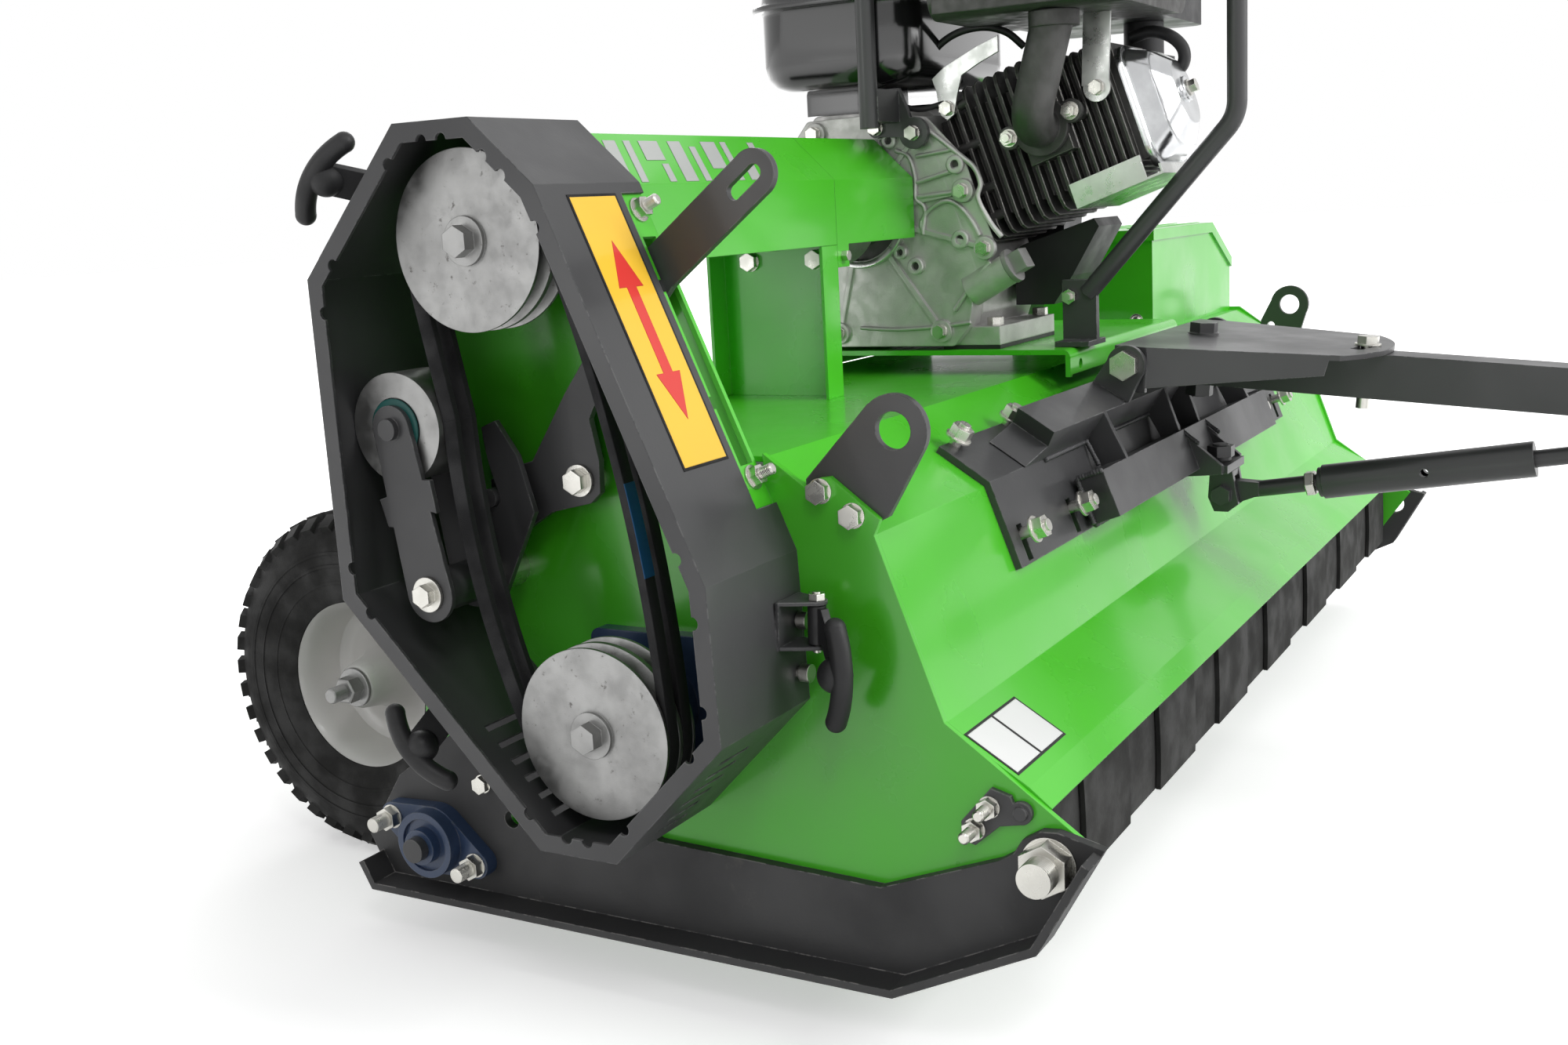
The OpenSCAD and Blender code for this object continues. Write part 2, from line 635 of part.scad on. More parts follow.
flap_w = (deck_w - 2 * plate_t - 20) / flap_n;
module flap_set(k) {
  for (i = [k:2:flap_n - 1])
    difference() {
      union() {
        translate([xn + plate_t + 10 + i * flap_w - (k == 1 ? 6 : -1), rod_y - (k == 1 ? 8.4 : -1.6),
          rod_z - flap_h + 3])
          cube([flap_w + (k == 1 ? 12 : -2), 4, flap_h - 9]);
        translate([xn + plate_t + 10 + i * flap_w + 8, rod_y, rod_z]) rotate([0, 90, 0])
          cylinder(r = 8.4, h = flap_w - 16, $fn = 24);
      }
      translate([xn - 10, rod_y, rod_z]) rotate([0, 90, 0]) cylinder(r = 5.05, h = deck_w + 20, $fn = 24);
    }
}

module flaps() home() color(rubber) for (k = [0, 1]) flap_set(k);

// Bearings
module flange_bearing(x, s, y, z, a) translate([x, y, z]) rotate([a, 0, 0]) mirror([s < 0 ? 1 : 0, 0, 0]) {
  difference() {
    union() {
      rotate([90, 0, 90]) linear_extrude(12) hull() {
        circle(r = 29);
        translate([45, 0]) circle(r = 12);
        translate([-45, 0]) circle(r = 12);
      }
      xcyl(0, 0, 28, 0, 24);
    }
    xcyl(0, 0, 22, 5, 30);
    xcyl(0, 0, 12, -1, 30);
    for (q = [-45, 45]) xcyl(q, 0, 6.1, -1, 30, 20);
  }
  // Inner ring with its collar
  difference() {
    union() {
      xcyl(0, 0, 21.9, 5, 21);
      xcyl(0, 0, 15, 20.9, 30);
    }
    xcyl(0, 0, 10.05, -1, 40);
  }
}

module square_bearing(x, s, y, z) translate([x, y, z]) mirror([s < 0 ? 1 : 0, 0, 0]) difference() {
  union() {
    rotate([90, 0, 90]) linear_extrude(12) offset(r = 8) square([92, 92], center = true);
    xcyl(0, 0, 38, 0, 34);
  }
  xcyl(0, 0, 15.05, -1, 40);
}

module bearing_housings() home() color(blue) {
  flange_bearing(xn - 8, -1, roller_y, roller_z, bear_a);
  flange_bearing(xf + 8, 1, roller_y, roller_z, bear_a);
  square_bearing(xn, -1, 0, rotor_z);
  square_bearing(xf, 1, 0, rotor_z);
}

// Wheels
wheel_z = wheel_d / 2;
wheel_x0 = 440;
module tyre(x0) rotate([0, 90, 0]) rotate_extrude($fn = 72)
  polygon([for (p = [[88, 8], [96, 0.24 * 8], [112, 0], [wheel_d / 2 - 22, 4],
  [wheel_d / 2 - 7, 14], [wheel_d / 2, 34], [wheel_d / 2, wheel_w - 34], [wheel_d / 2 - 7, wheel_w - 14],
    [wheel_d / 2 - 22, wheel_w - 4],
  [112, wheel_w], [96, wheel_w - 2], [88, wheel_w - 8], [80, wheel_w - 14], [80, wheel_w - 24],
    [112, wheel_w - 14], [wheel_d / 2 - 30, wheel_w - 18],
  [wheel_d / 2 - 22, wheel_w - 34], [wheel_d / 2 - 22, 34], [wheel_d / 2 - 30, 18], [112, 14], [80, 24],
    [80, 14]]) p]);

module rim() rotate([0, 90, 0]) difference() {
  union() {
    rotate_extrude($fn = 72) polygon([[84, 9], [87.5, 7.8], [87.5, 5], [80, 6], [76, 14], [76, 30],
      [64, 44], [58, 46], [26, 40], [26, 12], [12.6, 12],
      [12.6, 100], [26, 100], [26, 60], [60, 62], [73, 72], [73, wheel_w - 14], [80, wheel_w - 6],
        [87.5, wheel_w - 5], [87.5, wheel_w - 7.8], [84, wheel_w - 9],
      [79.5, wheel_w - 14], [79.5, 14]]);
  }
}

module tyre_near() home() color(rubber) translate([-wheel_x0 - wheel_w, wheel_y, wheel_z]) tyre(0);
module tyre_far() home() color(rubber) translate([wheel_x0, wheel_y, wheel_z]) tyre(0);
module rim_near() home() color(rimwhite) translate([-wheel_x0 - wheel_w, wheel_y, wheel_z]) rim();
module rim_far() home() color(rimwhite) translate([wheel_x0 + wheel_w, wheel_y, wheel_z])
  mirror([1, 0, 0]) rim();

module wheel_arms() home() color(dark) for (s = [-1, 1]) {
  x0 = s < 0 ? -430 : 420;
  difference() {
    slab(x0, x0 + 10) union() {
      polygon([[227.7, 150], [216.3, 300], [262, 300], [wheel_y + 22, wheel_z + 20], [wheel_y + 22,
        wheel_z - 22], [wheel_y - 24, wheel_z - 24], [262, 150]]);
      translate([wheel_y, wheel_z]) circle(r = 30);
    }
    slab(x0 - 1, x0 + 11) polygon([[300, 190], [300, 240], [350, 210], [350, 180]]);
  }
  xcyl(wheel_y, wheel_z, 12.5, s < 0 ? -wheel_x0 - wheel_w - 6 : 429,
    s < 0 ? -429 : wheel_x0 + wheel_w + 6);
  xcyl(wheel_y, wheel_z, 20, s < 0 ? -437 : 429, s < 0 ? -429 : 437);
  translate([s < 0 ? -wheel_x0 - wheel_w - 16 : wheel_x0 + wheel_w + 2, wheel_y, wheel_z])
    rotate([0, 90, 0]) cylinder(r = 21, h = 14, $fn = 6);
}

module roller() home() color(dark) {
  xcyl(roller_y, roller_z, drum_d / 2, xn + plate_t + 2, xf - plate_t - 2, 48);
  xcyl(roller_y, roller_z, 10, xn - shaft_out, xf + shaft_out, 32);
}

// Pulleys, shafts, belts
belt_x = [xn - 81, xn - 64];
module pulley(y, z) difference() {
  union() {
    translate([xn - 90, y, z]) rotate([0, 90, 0]) rotate_extrude($fn = 72)
      polygon([[14, 0], [pulley_d / 2, 0], [pulley_d / 2, 2.5],
      [pulley_d / 2 - 13, 6.5], [pulley_d / 2 - 13, 11], [pulley_d / 2, 15.5], [pulley_d / 2, 19.5],
        [pulley_d / 2 - 13, 24], [pulley_d / 2 - 13, 28.5],
      [pulley_d / 2, pulley_w - 2.5], [pulley_d / 2, pulley_w], [14, pulley_w]]);
    xcyl(y, z, 24, xn - 90 + pulley_w - 1, xn - 90 + pulley_w + 12);
  }
  xcyl(y, z, 14, xn - 91, xn - 30);
}

module drive_pulley() home() color(steel) {
  pulley(drive_y, drive_z);
  xcyl(drive_y, drive_z, 17, xn - 93, xn - 90, 32);
  translate([xn - 103, drive_y, drive_z]) rotate([0, 90, 0]) cylinder(r = 11, h = 10.01, $fn = 6);
}
module rotor_pulley() home() color(steel) {
  pulley(0, rotor_z);
  xcyl(0, rotor_z, 17, xn - 93, xn - 90, 32);
  translate([xn - 103, 0, rotor_z]) rotate([0, 90, 0]) cylinder(r = 11, h = 10.01, $fn = 6);
}

module drive_shaft() home() color(steel) {
  xcyl(drive_y, drive_z, 14, xn - 89.9, ex + 30);
  xcyl(drive_y, drive_z, 48, -300, -210, 48);
}

belt_r = 57.8;
belt_gap = 0.3;
bow_r = 620;
bow_front_r = 1100;

// Belt section, X across and outward from the running line
// Meeting point of two circles, s picks the side
function meet(a, ra, b, rb, s) = let (d = norm(b - a), u = (b - a) / d, x = (ra * ra - rb * rb + d * d)
  / (2 * d))
  a + u * x + [-u[1], u[0]] * s * sqrt(ra * ra - x * x);
function ang(a, b) = atan2(b[1] - a[1], b[0] - a[0]);

top_c = [drive_y, drive_z];
low_c = [0, rotor_z];
idl_c = [axle_y, axle_z];
idl_r = roller_d / 2 + belt_gap + 4.5;
// Centres of the two bows and angle of the straight run from the upper pulley to the roller
bow_a = meet(low_c, bow_r - belt_r, idl_c, bow_r + idl_r, 1);
bow_b = meet(low_c, bow_front_r - belt_r, top_c, bow_front_r - belt_r, -1);
run_t = ang(top_c, idl_c) + acos((belt_r + idl_r) / norm(idl_c - top_c));
function arc(c, r, a0, a1, n) = [for (i = [0:n]) c + r * [cos(a0 + (a1 - a0) * i / n),
  sin(a0 + (a1 - a0) * i / n)]];
function full(a) = a < 0 ? a + 360 : a;
b_top = full(ang(bow_b, top_c));
b_low = full(ang(bow_b, low_c));
a_low = ang(bow_a, low_c);
a_idl = ang(bow_a, idl_c);
// Closed path of the belt at a distance from its middle line
function belt_path(d) = concat(arc(top_c, belt_r + d, run_t, b_top, 30), arc(bow_b, bow_front_r + d,
  b_top, b_low, 10),
  arc(low_c, belt_r + d, b_low, a_low + 360, 30), arc(bow_a, bow_r + d, a_low, a_idl, 10),
  arc(idl_c, idl_r - d, a_idl + 180, run_t + 180, 6));

// V belt in three layers, wide at the back and narrow at the root
module belt_ring(x)
  for (l = [[4.5, 1.5, 4.95], [1.5, -1.5, 3.9], [-1.5, -4.5, 2.85]])
    slab(x - l[2], x + l[2]) difference() {
      polygon(belt_path(l[0]));
      polygon(belt_path(l[1]));
    }

module belts() home() color(rubber) for (x = [xn - 90 + 8.75, xn - 90 + 26.25]) belt_ring(x);

// Rotor with flails
rr = rotor_d / 2;
lug_r = 76;
flail_a = [-90, 30, 150];
function flail_x(i, k) = xn + plate_t + 46 + (deck_w - 2 * plate_t - 92) / (flail_n - 0.34) * (i + k / 3);

module rotor() home() color(dark) {
  xcyl(0, rotor_z, rr, xn + plate_t + 12, xf - plate_t - 12, 56);
  xcyl(0, rotor_z, 15, xn - 42.5, xf + 40, 32);
  for (k = [0:2]) for (i = [0:flail_n - 1]) for (s = [-1, 1])
    translate([flail_x(i, k) + s * 11 - 3, 0, rotor_z]) rotate([flail_a[k], 0, 0]) rotate([90, 0, 90])
      linear_extrude(6) difference() {
        polygon([[rr - 3, -19], [rr - 3, 19], [lug_r + 3, 12], [lug_r + 11, 5], [lug_r + 11, -5],
          [lug_r + 3, -12]]);
        translate([lug_r, 0]) circle(r = 6.25, $fn = 20);
      }
  xcyl(0, rotor_z, 14, xn - 89.9, xn - 42.4, 32);
}

module flail_row(k) for (i = [0:flail_n - 1]) {
  py = lug_r * cos(flail_a[k]);
  pz = rotor_z + lug_r * sin(flail_a[k]);
  xcyl(py, pz, 6.2, flail_x(i, k) - 16.5, flail_x(i, k) + 16.5, 20);
  slab(flail_x(i, k) - 6, flail_x(i, k) + 6) difference() {
    polygon([[py - 11, pz + 8], [py - 12, pz - 30], [py - 15, pz - flail_len + 14],
      [py - 15, pz - flail_len],
      [py + 15, pz - flail_len], [py + 15, pz - flail_len + 14], [py + 12, pz - 30], [py + 11, pz + 8],
        [py, pz + 11]]);
  }
}
module flails_a() home() color(dark) flail_row(0);
module flails_b() home() color(dark) flail_row(1);
module flails_c() home() color(dark) flail_row(2);

// Tensioner
function slot_pt(q) = rot2(rot2([pin_y, pin_z], [lev_y, lev_z], q), [arm_y, arm_z], -q * arm_ratio);

module arm_plate(x0, x1) slab(x0, x1) difference() {
  union() {
    translate([arm_y, arm_z]) circle(r = 21);
    translate([axle_y, axle_z]) circle(r = 17);
    polygon([[arm_y + 20.6, arm_z - 4], [axle_y + 16.7, axle_z - 3.2], [axle_y - 16.7, axle_z + 3.2],
      [arm_y - 20.6, arm_z + 4]]);
  }
  translate([arm_y, arm_z]) circle(r = 10.05);
  translate([axle_y, axle_z]) circle(r = 8);
}

module tensioner_arm() home() color(dark) {
  arm_plate(xn - 98, xn - 94);
  arm_plate(xn - 49, xn - 45);
  difference() {
    xcyl(arm_y, arm_z, 16, xn - 94.1, xn - 48.9);
    xcyl(arm_y, arm_z, 10.05, xn - 110, xn - 40);
  }
  xcyl(axle_y, axle_z, 8, xn - 103, xn - 41, 32);
  // Stops on the front plate
  slab(xn - 98, xn - 94) {
    polygon([[arm_y + 24, arm_z + 48], [arm_y + 33, arm_z + 48], [arm_y + 39, arm_z + 68],
      [arm_y + 27, arm_z + 72]]);
    polygon([[arm_y - 14, arm_z + 60], [arm_y - 6, arm_z + 62], [arm_y - 3, arm_z + 84],
      [arm_y - 10, arm_z + 84]]);
  }
  // Slotted follower plate behind the arm
  difference() {
    slab(xn - 33, xn - 28) polygon([[arm_y - 16, arm_z - 14], [arm_y + 12, arm_z - 16],
      [arm_y + 30, arm_z + 10], [arm_y + 36, arm_z + 72],
      [arm_y + 10, arm_z + 106], [arm_y - 20, arm_z + 118], [arm_y - 38, arm_z + 92],
        [arm_y - 50, arm_z + 50]]);
    xcyl(arm_y, arm_z, 10.05, xn - 40, xn - 20, 40);
    for (i = [0:5]) {
      a = slot_pt(i * lev_swing / 5);
      xcyl(a[0], a[1], 7.4, xn - 34, xn - 27, 20);
    }
    for (i = [0:4]) {
      a = slot_pt(i * lev_swing / 5);
      b = slot_pt((i + 1) * lev_swing / 5);
      u = unit(b - a);
      m = perp(u) * 7.4;
      slab(xn - 34, xn - 27) polygon([a + m, b + m, b - m, a - m]);
    }
  }
  xcyl(arm_y + 20, arm_z + 40, 6, xn - 45.1, xn - 32.9, 24);
  xcyl(arm_y + 8, arm_z + 22, 6, xn - 45.1, xn - 32.9, 24);
}

module tensioner_roller() home() color(steel) difference() {
  xcyl(axle_y, axle_z, roller_d / 2, xn - 92, xn - 55, 64);
  xcyl(axle_y, axle_z, 22, xn - 93, xn - 88, 48);
  xcyl(axle_y, axle_z, 22, xn - 59, xn - 54, 48);
  xcyl(axle_y, axle_z, 8.05, xn - 95, xn - 50, 32);
}

// Lever
module lever() home() color(dark) {
  difference() {
    slab(xn - 18, xn - 12) difference() {
      union() {
        polygon([[-23, 557], [56, 457], [91, 406], [122, 398], [132, 390], [132, 372], [122, 362],
          [100, 354], [76, 368], [40, 376],
          [31, 384], [30, 408], [36, 438], [32, 446], [-43, 531], [-122, 591], [-102, 617]]);
        translate([-112, 604]) circle(r = 16.5);
      }
      hull() {
        translate([-97, 592.6]) circle(r = 5.5, $fn = 24);
        translate([-113, 604.8]) circle(r = 5.5, $fn = 24);
      }
      translate([lev_y, lev_z]) circle(r = 8.05);
    }
  }
  xcyl(pin_y, pin_z, 7, xn - 37, xn - 17.9, 32);
  xcyl(pin_y, pin_z, 10, xn - 12.1, xn - 8, 32);
}

// Rubber latches
// Each latch: point on its pin, middle of its handle, wall direction, distance of the pin from the wall
latches = [
  [[xn - 18.5, -144, 300], [xn - 34.5, -170, 268], [0, -0.04, 1], 21.5],
  [[xn - 54.5, 172, 605], [xn - 94.5, 205, 622], unit([0, -0.675, 0.738]), 20],
  [[xn - 54.5, 148, 228], [xn - 99.5, 162, 196], unit([0, 0.696, 0.718]), 27.8]];

function latch_frame(l) = let (w = unit(l[2]), q = l[1] - l[0], u = unit(q - w * (q * w)),
  v = cross(w, u), o = l[0])
  [[u[0], v[0], w[0], o[0]], [u[1], v[1], w[1], o[1]], [u[2], v[2], w[2], o[2]], [0, 0, 0, 1]];

module t_latch(l) {
  w = unit(l[2]);
  q = l[1] - l[0];
  b = q * w;
  a = norm(q - w * b);
  multmatrix(latch_frame(l)) {
    difference() {
      union() {
        translate([0, 0, -13.5]) cylinder(r = 6.5, h = 27, $fn = 32);
        rotate([90, 0, 0]) translate([0, 0, -3]) linear_extrude(6)
          polygon([[3, 12.4], [10, 12.4], [a - 4, b + 12], [a - 4, b - 12], [10, -12.4], [3, -12.4]]);
      }
      translate([0, 0, -20]) cylinder(r = 3.05, h = 40, $fn = 24);
    }
    translate([a - 9, 0, b]) sphere(r = 12.5, $fn = 32);
    translate([a - 70, 0, b]) rotate([90, 0, 0]) rotate([0, 0, -28]) rotate_extrude(angle = 56, $fn = 96)
      translate([70, 0]) circle(r = 7.5, $fn = 24);
    for (e = [-28, 28])
      translate([a - 70 + 70 * cos(e), 0, b + 70 * sin(e)]) sphere(r = 7.6, $fn = 32);
  }
}

module latch_front() home() color(rubber) t_latch(latches[0]);

module latch_low() home() color(rubber) t_latch(latches[2]);

module latch_top() home() color(rubber) t_latch(latches[1]);

// Engine
module e_slab(x0, x1) slab(x0, x1) translate([drive_y, drive_z]) children();
case_cover = [[40, -131], [-96, -131], [-112, -112], [-122, -62], [-144, -40], [-122, 20], [-112, 50],
  [-74, 90], [-30, 96],
  [56, 94], [84, 60], [92, 0], [80, -80]];
case_body = [[60, -131], [-104, -131], [-116, -100], [-120, -50], [-118, 20], [-104, 64], [-60, 100],
  [60, 100], [90, 60], [98, 0],
  [90, -90]];
cover_bolts = [[-84, -116], [29, -117], [-132, -37], [-111, 18], [-65, 75], [-26, 82], [46, 81],
  [70, 20], [66, -60]];

module crankcase() home() color(silver) difference() {
  union() {
    e_slab(ex, ex + 26) offset(r = 6) offset(delta = -6) polygon(case_cover);
    for (b = cover_bolts) xcyl(drive_y + b[0], drive_z + b[1], 11, ex - 5, ex + 4, 24);
    // Ribs from the hub to the bosses
    for (b = cover_bolts) translate([ex - 3, drive_y, drive_z]) rotate([atan2(b[1], b[0]), 0, 0])
      translate([0, 44, -2.5])
      cube([6, norm(b) - 48, 5]);
    e_slab(ex + 26, ex + 160) offset(r = 8) offset(delta = -8) polygon(case_body);
    // Feet
    for (y = [-140, 50])
      translate([ex + 10, drive_y + y, drive_z - 131]) cube([150, 60, 18]);
    // Oil filler neck
    translate([ex + 9, drive_y - 112, drive_z - 78]) rotate([62, 0, 0]) cylinder(r = 16, h = 46, $fn = 32);
    // Hub around the shaft
    xcyl(drive_y, drive_z, 52, ex - 8, ex + 1, 56);
  }
  xcyl(drive_y, drive_z, 45, ex - 9, ex + 4, 56);
  xcyl(drive_y, drive_z, 14.05, ex - 9, ex + 40, 32);
  for (b = cover_bolts) xcyl(drive_y + b[0], drive_z + b[1], 4.05, ex - 9, ex + 20, 20);
  // Face that carries the cylinder
  bore_frame() translate([-90, -110, 95.7]) cube([180, 230, 200]);
}

// Frame of the cylinder: local +Z points out along the bore
module bore_frame() translate([cyl_x, drive_y, drive_z]) rotate([90 - cyl_ang, 0, 0]) children();

// Rounded plate across the bore: half width, lower and upper edge, place and thickness
module fin(w, h0, h1, z, t) translate([0, 0, z]) linear_extrude(t)
  polygon([[-w, h0 + 13], [-w + 4, h0 + 4], [-w + 13, h0], [w - 13, h0], [w - 4, h0 + 4], [w, h0 + 13],
    [w, h1 - 13], [w - 4, h1 - 4], [w - 13, h1], [-w + 13, h1], [-w + 4, h1 - 4], [-w, h1 - 13]]);
port_y = 8;
port_z = 200;

module cylinder_barrel() home() color([0.20, 0.20, 0.20]) {
  bore_frame() difference() {
    union() {
      translate([-52, -52, 96]) cube([104, 108, 112]);
      for (i = [0:fin_n - 1]) fin(66, -72, 78, 108 + i * 92 / (fin_n - 1), 3.2);
      // Damper studs between the first fins
      for (y = [-50, -22, 22, 62]) translate([-62, y, 108]) cylinder(r = 5, h = 26, $fn = 20);
      // Head with its own finer fins
      translate([-50, -54, 207.9]) cube([100, 112, 70]);
      for (i = [0:6]) fin(61, -66 + i, 68 - i, 211 + i * 9.4, 2.8);
      // Exhaust port and the boss of the strap
      translate([-76, port_y - 30, port_z - 22]) cube([30, 60, 44]);
      translate([-64, 22, 258]) rotate([0, 90, 0]) cylinder(r = 8, h = 20, $fn = 24);
      translate([-67.9, 63, 115]) rotate([0, 90, 0]) cylinder(r = 8, h = 20, $fn = 24);
    }
    for (s = [-1, 1]) translate([-80, port_y + 2, port_z + s * 32]) rotate([0, 90, 0]) cylinder(r = 4.1,
      h = 20, $fn = 20);
    translate([-80, 22, 258]) rotate([0, 90, 0]) cylinder(r = 4.1, h = 34, $fn = 20);
    translate([50, 36.4, 250.5]) rotate([0, 90, 0]) cylinder(r = 22.4, h = 20, $fn = 40);
    translate([-80, 63, 115]) rotate([0, 90, 0]) cylinder(r = 4.1, h = 30, $fn = 20);
  }
  // Lugs that hold the exhaust flange
  bore_frame() for (s = [-1, 1]) difference() {
    translate([-76, port_y + 2, port_z + s * 32]) rotate([0, 90, 0]) cylinder(r = 9, h = 24, $fn = 24);
    translate([-80, port_y + 2, port_z + s * 32]) rotate([0, 90, 0]) cylinder(r = 4.1, h = 20, $fn = 20);
  }
}

module round_square(x, y, r, h) linear_extrude(h) offset(r = r) square([x - 2 * r, y - 2 * r],
  center = true);

module valve_cover() home() color(chrome) bore_frame() translate([0, -6, 0]) {
  translate([0, 0, 278.2]) round_square(108, 118, 20, 6);
  hull() {
    translate([0, 0, 284.1]) round_square(102, 110, 22, 2);
    translate([3, 0, 300]) round_square(88, 94, 28, 2);
  }
  hull() {
    translate([3, 0, 301.9]) round_square(86, 92, 27, 1);
    translate([6, 2, 314]) round_square(58, 62, 26, 1);
  }
  translate([6, 4, 314.9]) cylinder(r = 12, h = 3.5, $fn = 40);
}

// Bright sheet tray under the head
module head_tray() bore_frame() {
  translate([-68.6, -75, 203]) cube([126, 2.4, 88]);
  translate([-68.6, -75, 203]) cube([2.2, 24, 72]);
  translate([-68.6, -75, 288.8]) cube([126, 10, 2.2]);
}

// Strap to the muffler and bracket plate over the first fins
module engine_brackets() home() color(zinc) {
  head_tray();
  difference() {
    slab(-124.4, -121.4) union() {
      translate(strap_p) circle(r = 13);
      polygon([[-173.2, 675], [-176, 741.8], [-150, 741.8], [-147.4, 677]]);
    }
    xcyl(strap_p[0], strap_p[1], 4.1, -126, -118, 20);
  }
  difference() {
    slab(-128.4, -125.4) polygon([[2, 695.5], [-11, 705.7], [-44.8, 721.8], [-67, 730], [-67, 715.3],
      [-47.6, 706.8], [-29, 696.8],
      [-24, 679.5], [-20, 660.8], [-13, 655.7], [-6, 661], [-2, 684.5]]);
    xcyl(bracket_p[0], bracket_p[1], 4.1, -130, -120, 20);
  }
}
function bore_pt(y, z) = [drive_y + y * sin(cyl_ang) - z * cos(cyl_ang), drive_z + y * cos(cyl_ang)
  + z * sin(cyl_ang)];
bracket_p = bore_pt(63, 115);
strap_p = bore_pt(22, 258);

module exhaust() home() color([0.30, 0.29, 0.28]) {
  q0 = port_pt(-78);
  q1 = port_pt(-113);
  q2 = [q1[0], q1[1] - 26, drive_z + 166];
  tube([q0, q1, q2], 19, 24);
  zcyl(q2[0], q2[1] - 1, 23, drive_z + 158, drive_z + 171.7, 40);
  bore_frame() difference() {
    union() {
      translate([-82.3, port_y, port_z]) rotate([0, 90, 0]) cylinder(r = 27, h = 6, $fn = 48);
      for (s = [-1, 1]) translate([-82.3, port_y + 2, port_z + s * 32]) rotate([0, 90, 0])
        cylinder(r = 11, h = 6, $fn = 32);
    }
    for (s = [-1, 1]) translate([-84, port_y + 2, port_z + s * 32]) rotate([0, 90, 0]) cylinder(r = 4.1,
      h = 10, $fn = 20);
  }
}
function port_pt(x) = [cyl_x + x, bore_pt(port_y, port_z)[0], bore_pt(port_y, port_z)[1]];

module muffler() home() color([0.33, 0.33, 0.33]) {
  x0 = -205;
  y0 = -214;
  z0 = drive_z + 172;
  translate([0, y0 + 184, 0]) rotate([90, 0, 0]) linear_extrude(184) translate([x0 + 20, z0 + 20])
    offset(r = 20) square([152, 66]);
  translate([x0 - 4, y0 + 6, z0 + 4]) cube([4.2, 172, 92]);
  for (i = [0:5]) translate([x0 + 16, y0 + 20 + i * 26, z0 + 105.9]) cube([160, 12, 5]);
}

module fuel_tank() home() color(black) {
  translate([-186, drive_y - 72, drive_z + 122]) translate([14, 14, 0]) linear_extrude(tank_h)
    offset(r = 14) square([246, 141]);
  translate([-194, drive_y - 80, drive_z + 200]) linear_extrude(5) translate([14, 14]) offset(r = 14)
    square([262, 157]);
  zcyl(-50, drive_y + 12, 34, drive_z + 121 + tank_h, drive_z + 139 + tank_h, 48);
  // Legs down to the crankcase
  for (x = [-120, -30]) translate([x, drive_y + 10, drive_z + 100.2]) cube([24, 60, 22.1]);
}

module air_filter() home() color(black) {
  translate([-8, drive_y - 262, drive_z + 176]) translate([12, 12, 0]) linear_extrude(110) offset(r = 12)
    square([134, 126]);
}

module carburettor() home() color([0.25, 0.25, 0.26]) {
  translate([13.3, drive_y - 250, drive_z + 92]) cube([70, 50, 50]);
  xcyl(drive_y - 225, drive_z + 116, 24, 13.3, 110, 32);
  xcyl(drive_y - 225, drive_z + 116, 22, -6.7, 20, 40);
  zcyl(60, drive_y - 225, 20, drive_z + 60, drive_z + 175.8, 32);
}

module fan_shroud() home() color(black) {
  e_slab(ex + 160.3, ex + 214) offset(r = 12) offset(delta = -12)
    polygon([[100, -118], [-100, -118], [-150, -60], [-158, 40], [-110, 110], [80, 112], [124, 60],
      [128, -60]]);
  xcyl(drive_y, drive_z, 104, ex + 213.9, ex + 250, 64);
  slab(-60, ex + 160.4) polygon([[-52, 472], [-52, 528], [-64, 533], [-135, 555], [-140, 547],
    [-112, 500], [-92, 472]]);
  xcyl(drive_y, drive_z, 58, ex + 249.9, ex + 262, 48);
}

guard_path = [[-204, 34, 650], [-204, 34, drive_z + guard_h], [-97, -284, drive_z + guard_h],
  [-97, -284, 641], [-97, -140, 484]];
module guard_frame() home() color(dark) {
  tube(guard_path, 9, 36);
  // Foot on the platform
  difference() {
    translate([-101, -150, 440]) cube([8, 34, 58]);
    xcyl(-124, 482, 4.1, -110, -90, 20);
  }
  translate([-125, -150, 435.3]) cube([50, 34, 5]);
  // Foot on the crankcase cover
  difference() {
    slab(ex - 11.2, ex - 5.2) union() {
      translate([drive_y - 65, drive_z + 75]) circle(r = 15);
      translate([drive_y - 26, drive_z + 82]) circle(r = 9.5);
      polygon([[drive_y - 70, drive_z + 70], [drive_y - 22, drive_z + 74], [44, 688], [24, 688]]);
    }
    for (b = [[-65, 75], [-26, 82]]) xcyl(drive_y + b[0], drive_z + b[1], 4.1, ex - 20, ex, 20);
  }
  translate([-204, 24, 656]) cube([51.5, 20, 30]);
}

// Caps of the oil filler and of the drain
module oil_caps() home() color([0.45, 0.45, 0.45]) {
  translate([ex + 9, drive_y - 112, drive_z - 78]) rotate([62, 0, 0]) translate([0, 0, 46.1]) {
    cylinder(r = 17, h = 5, $fn = 40);
    translate([-10, -10, 4]) cube([20, 20, 15]);
  }
}

module engine_mounts() home() color(rubber)
  for (y = [drive_y - 140, drive_y + 50]) translate([ex + 10, y, 435]) cube([150, 60, 4]);

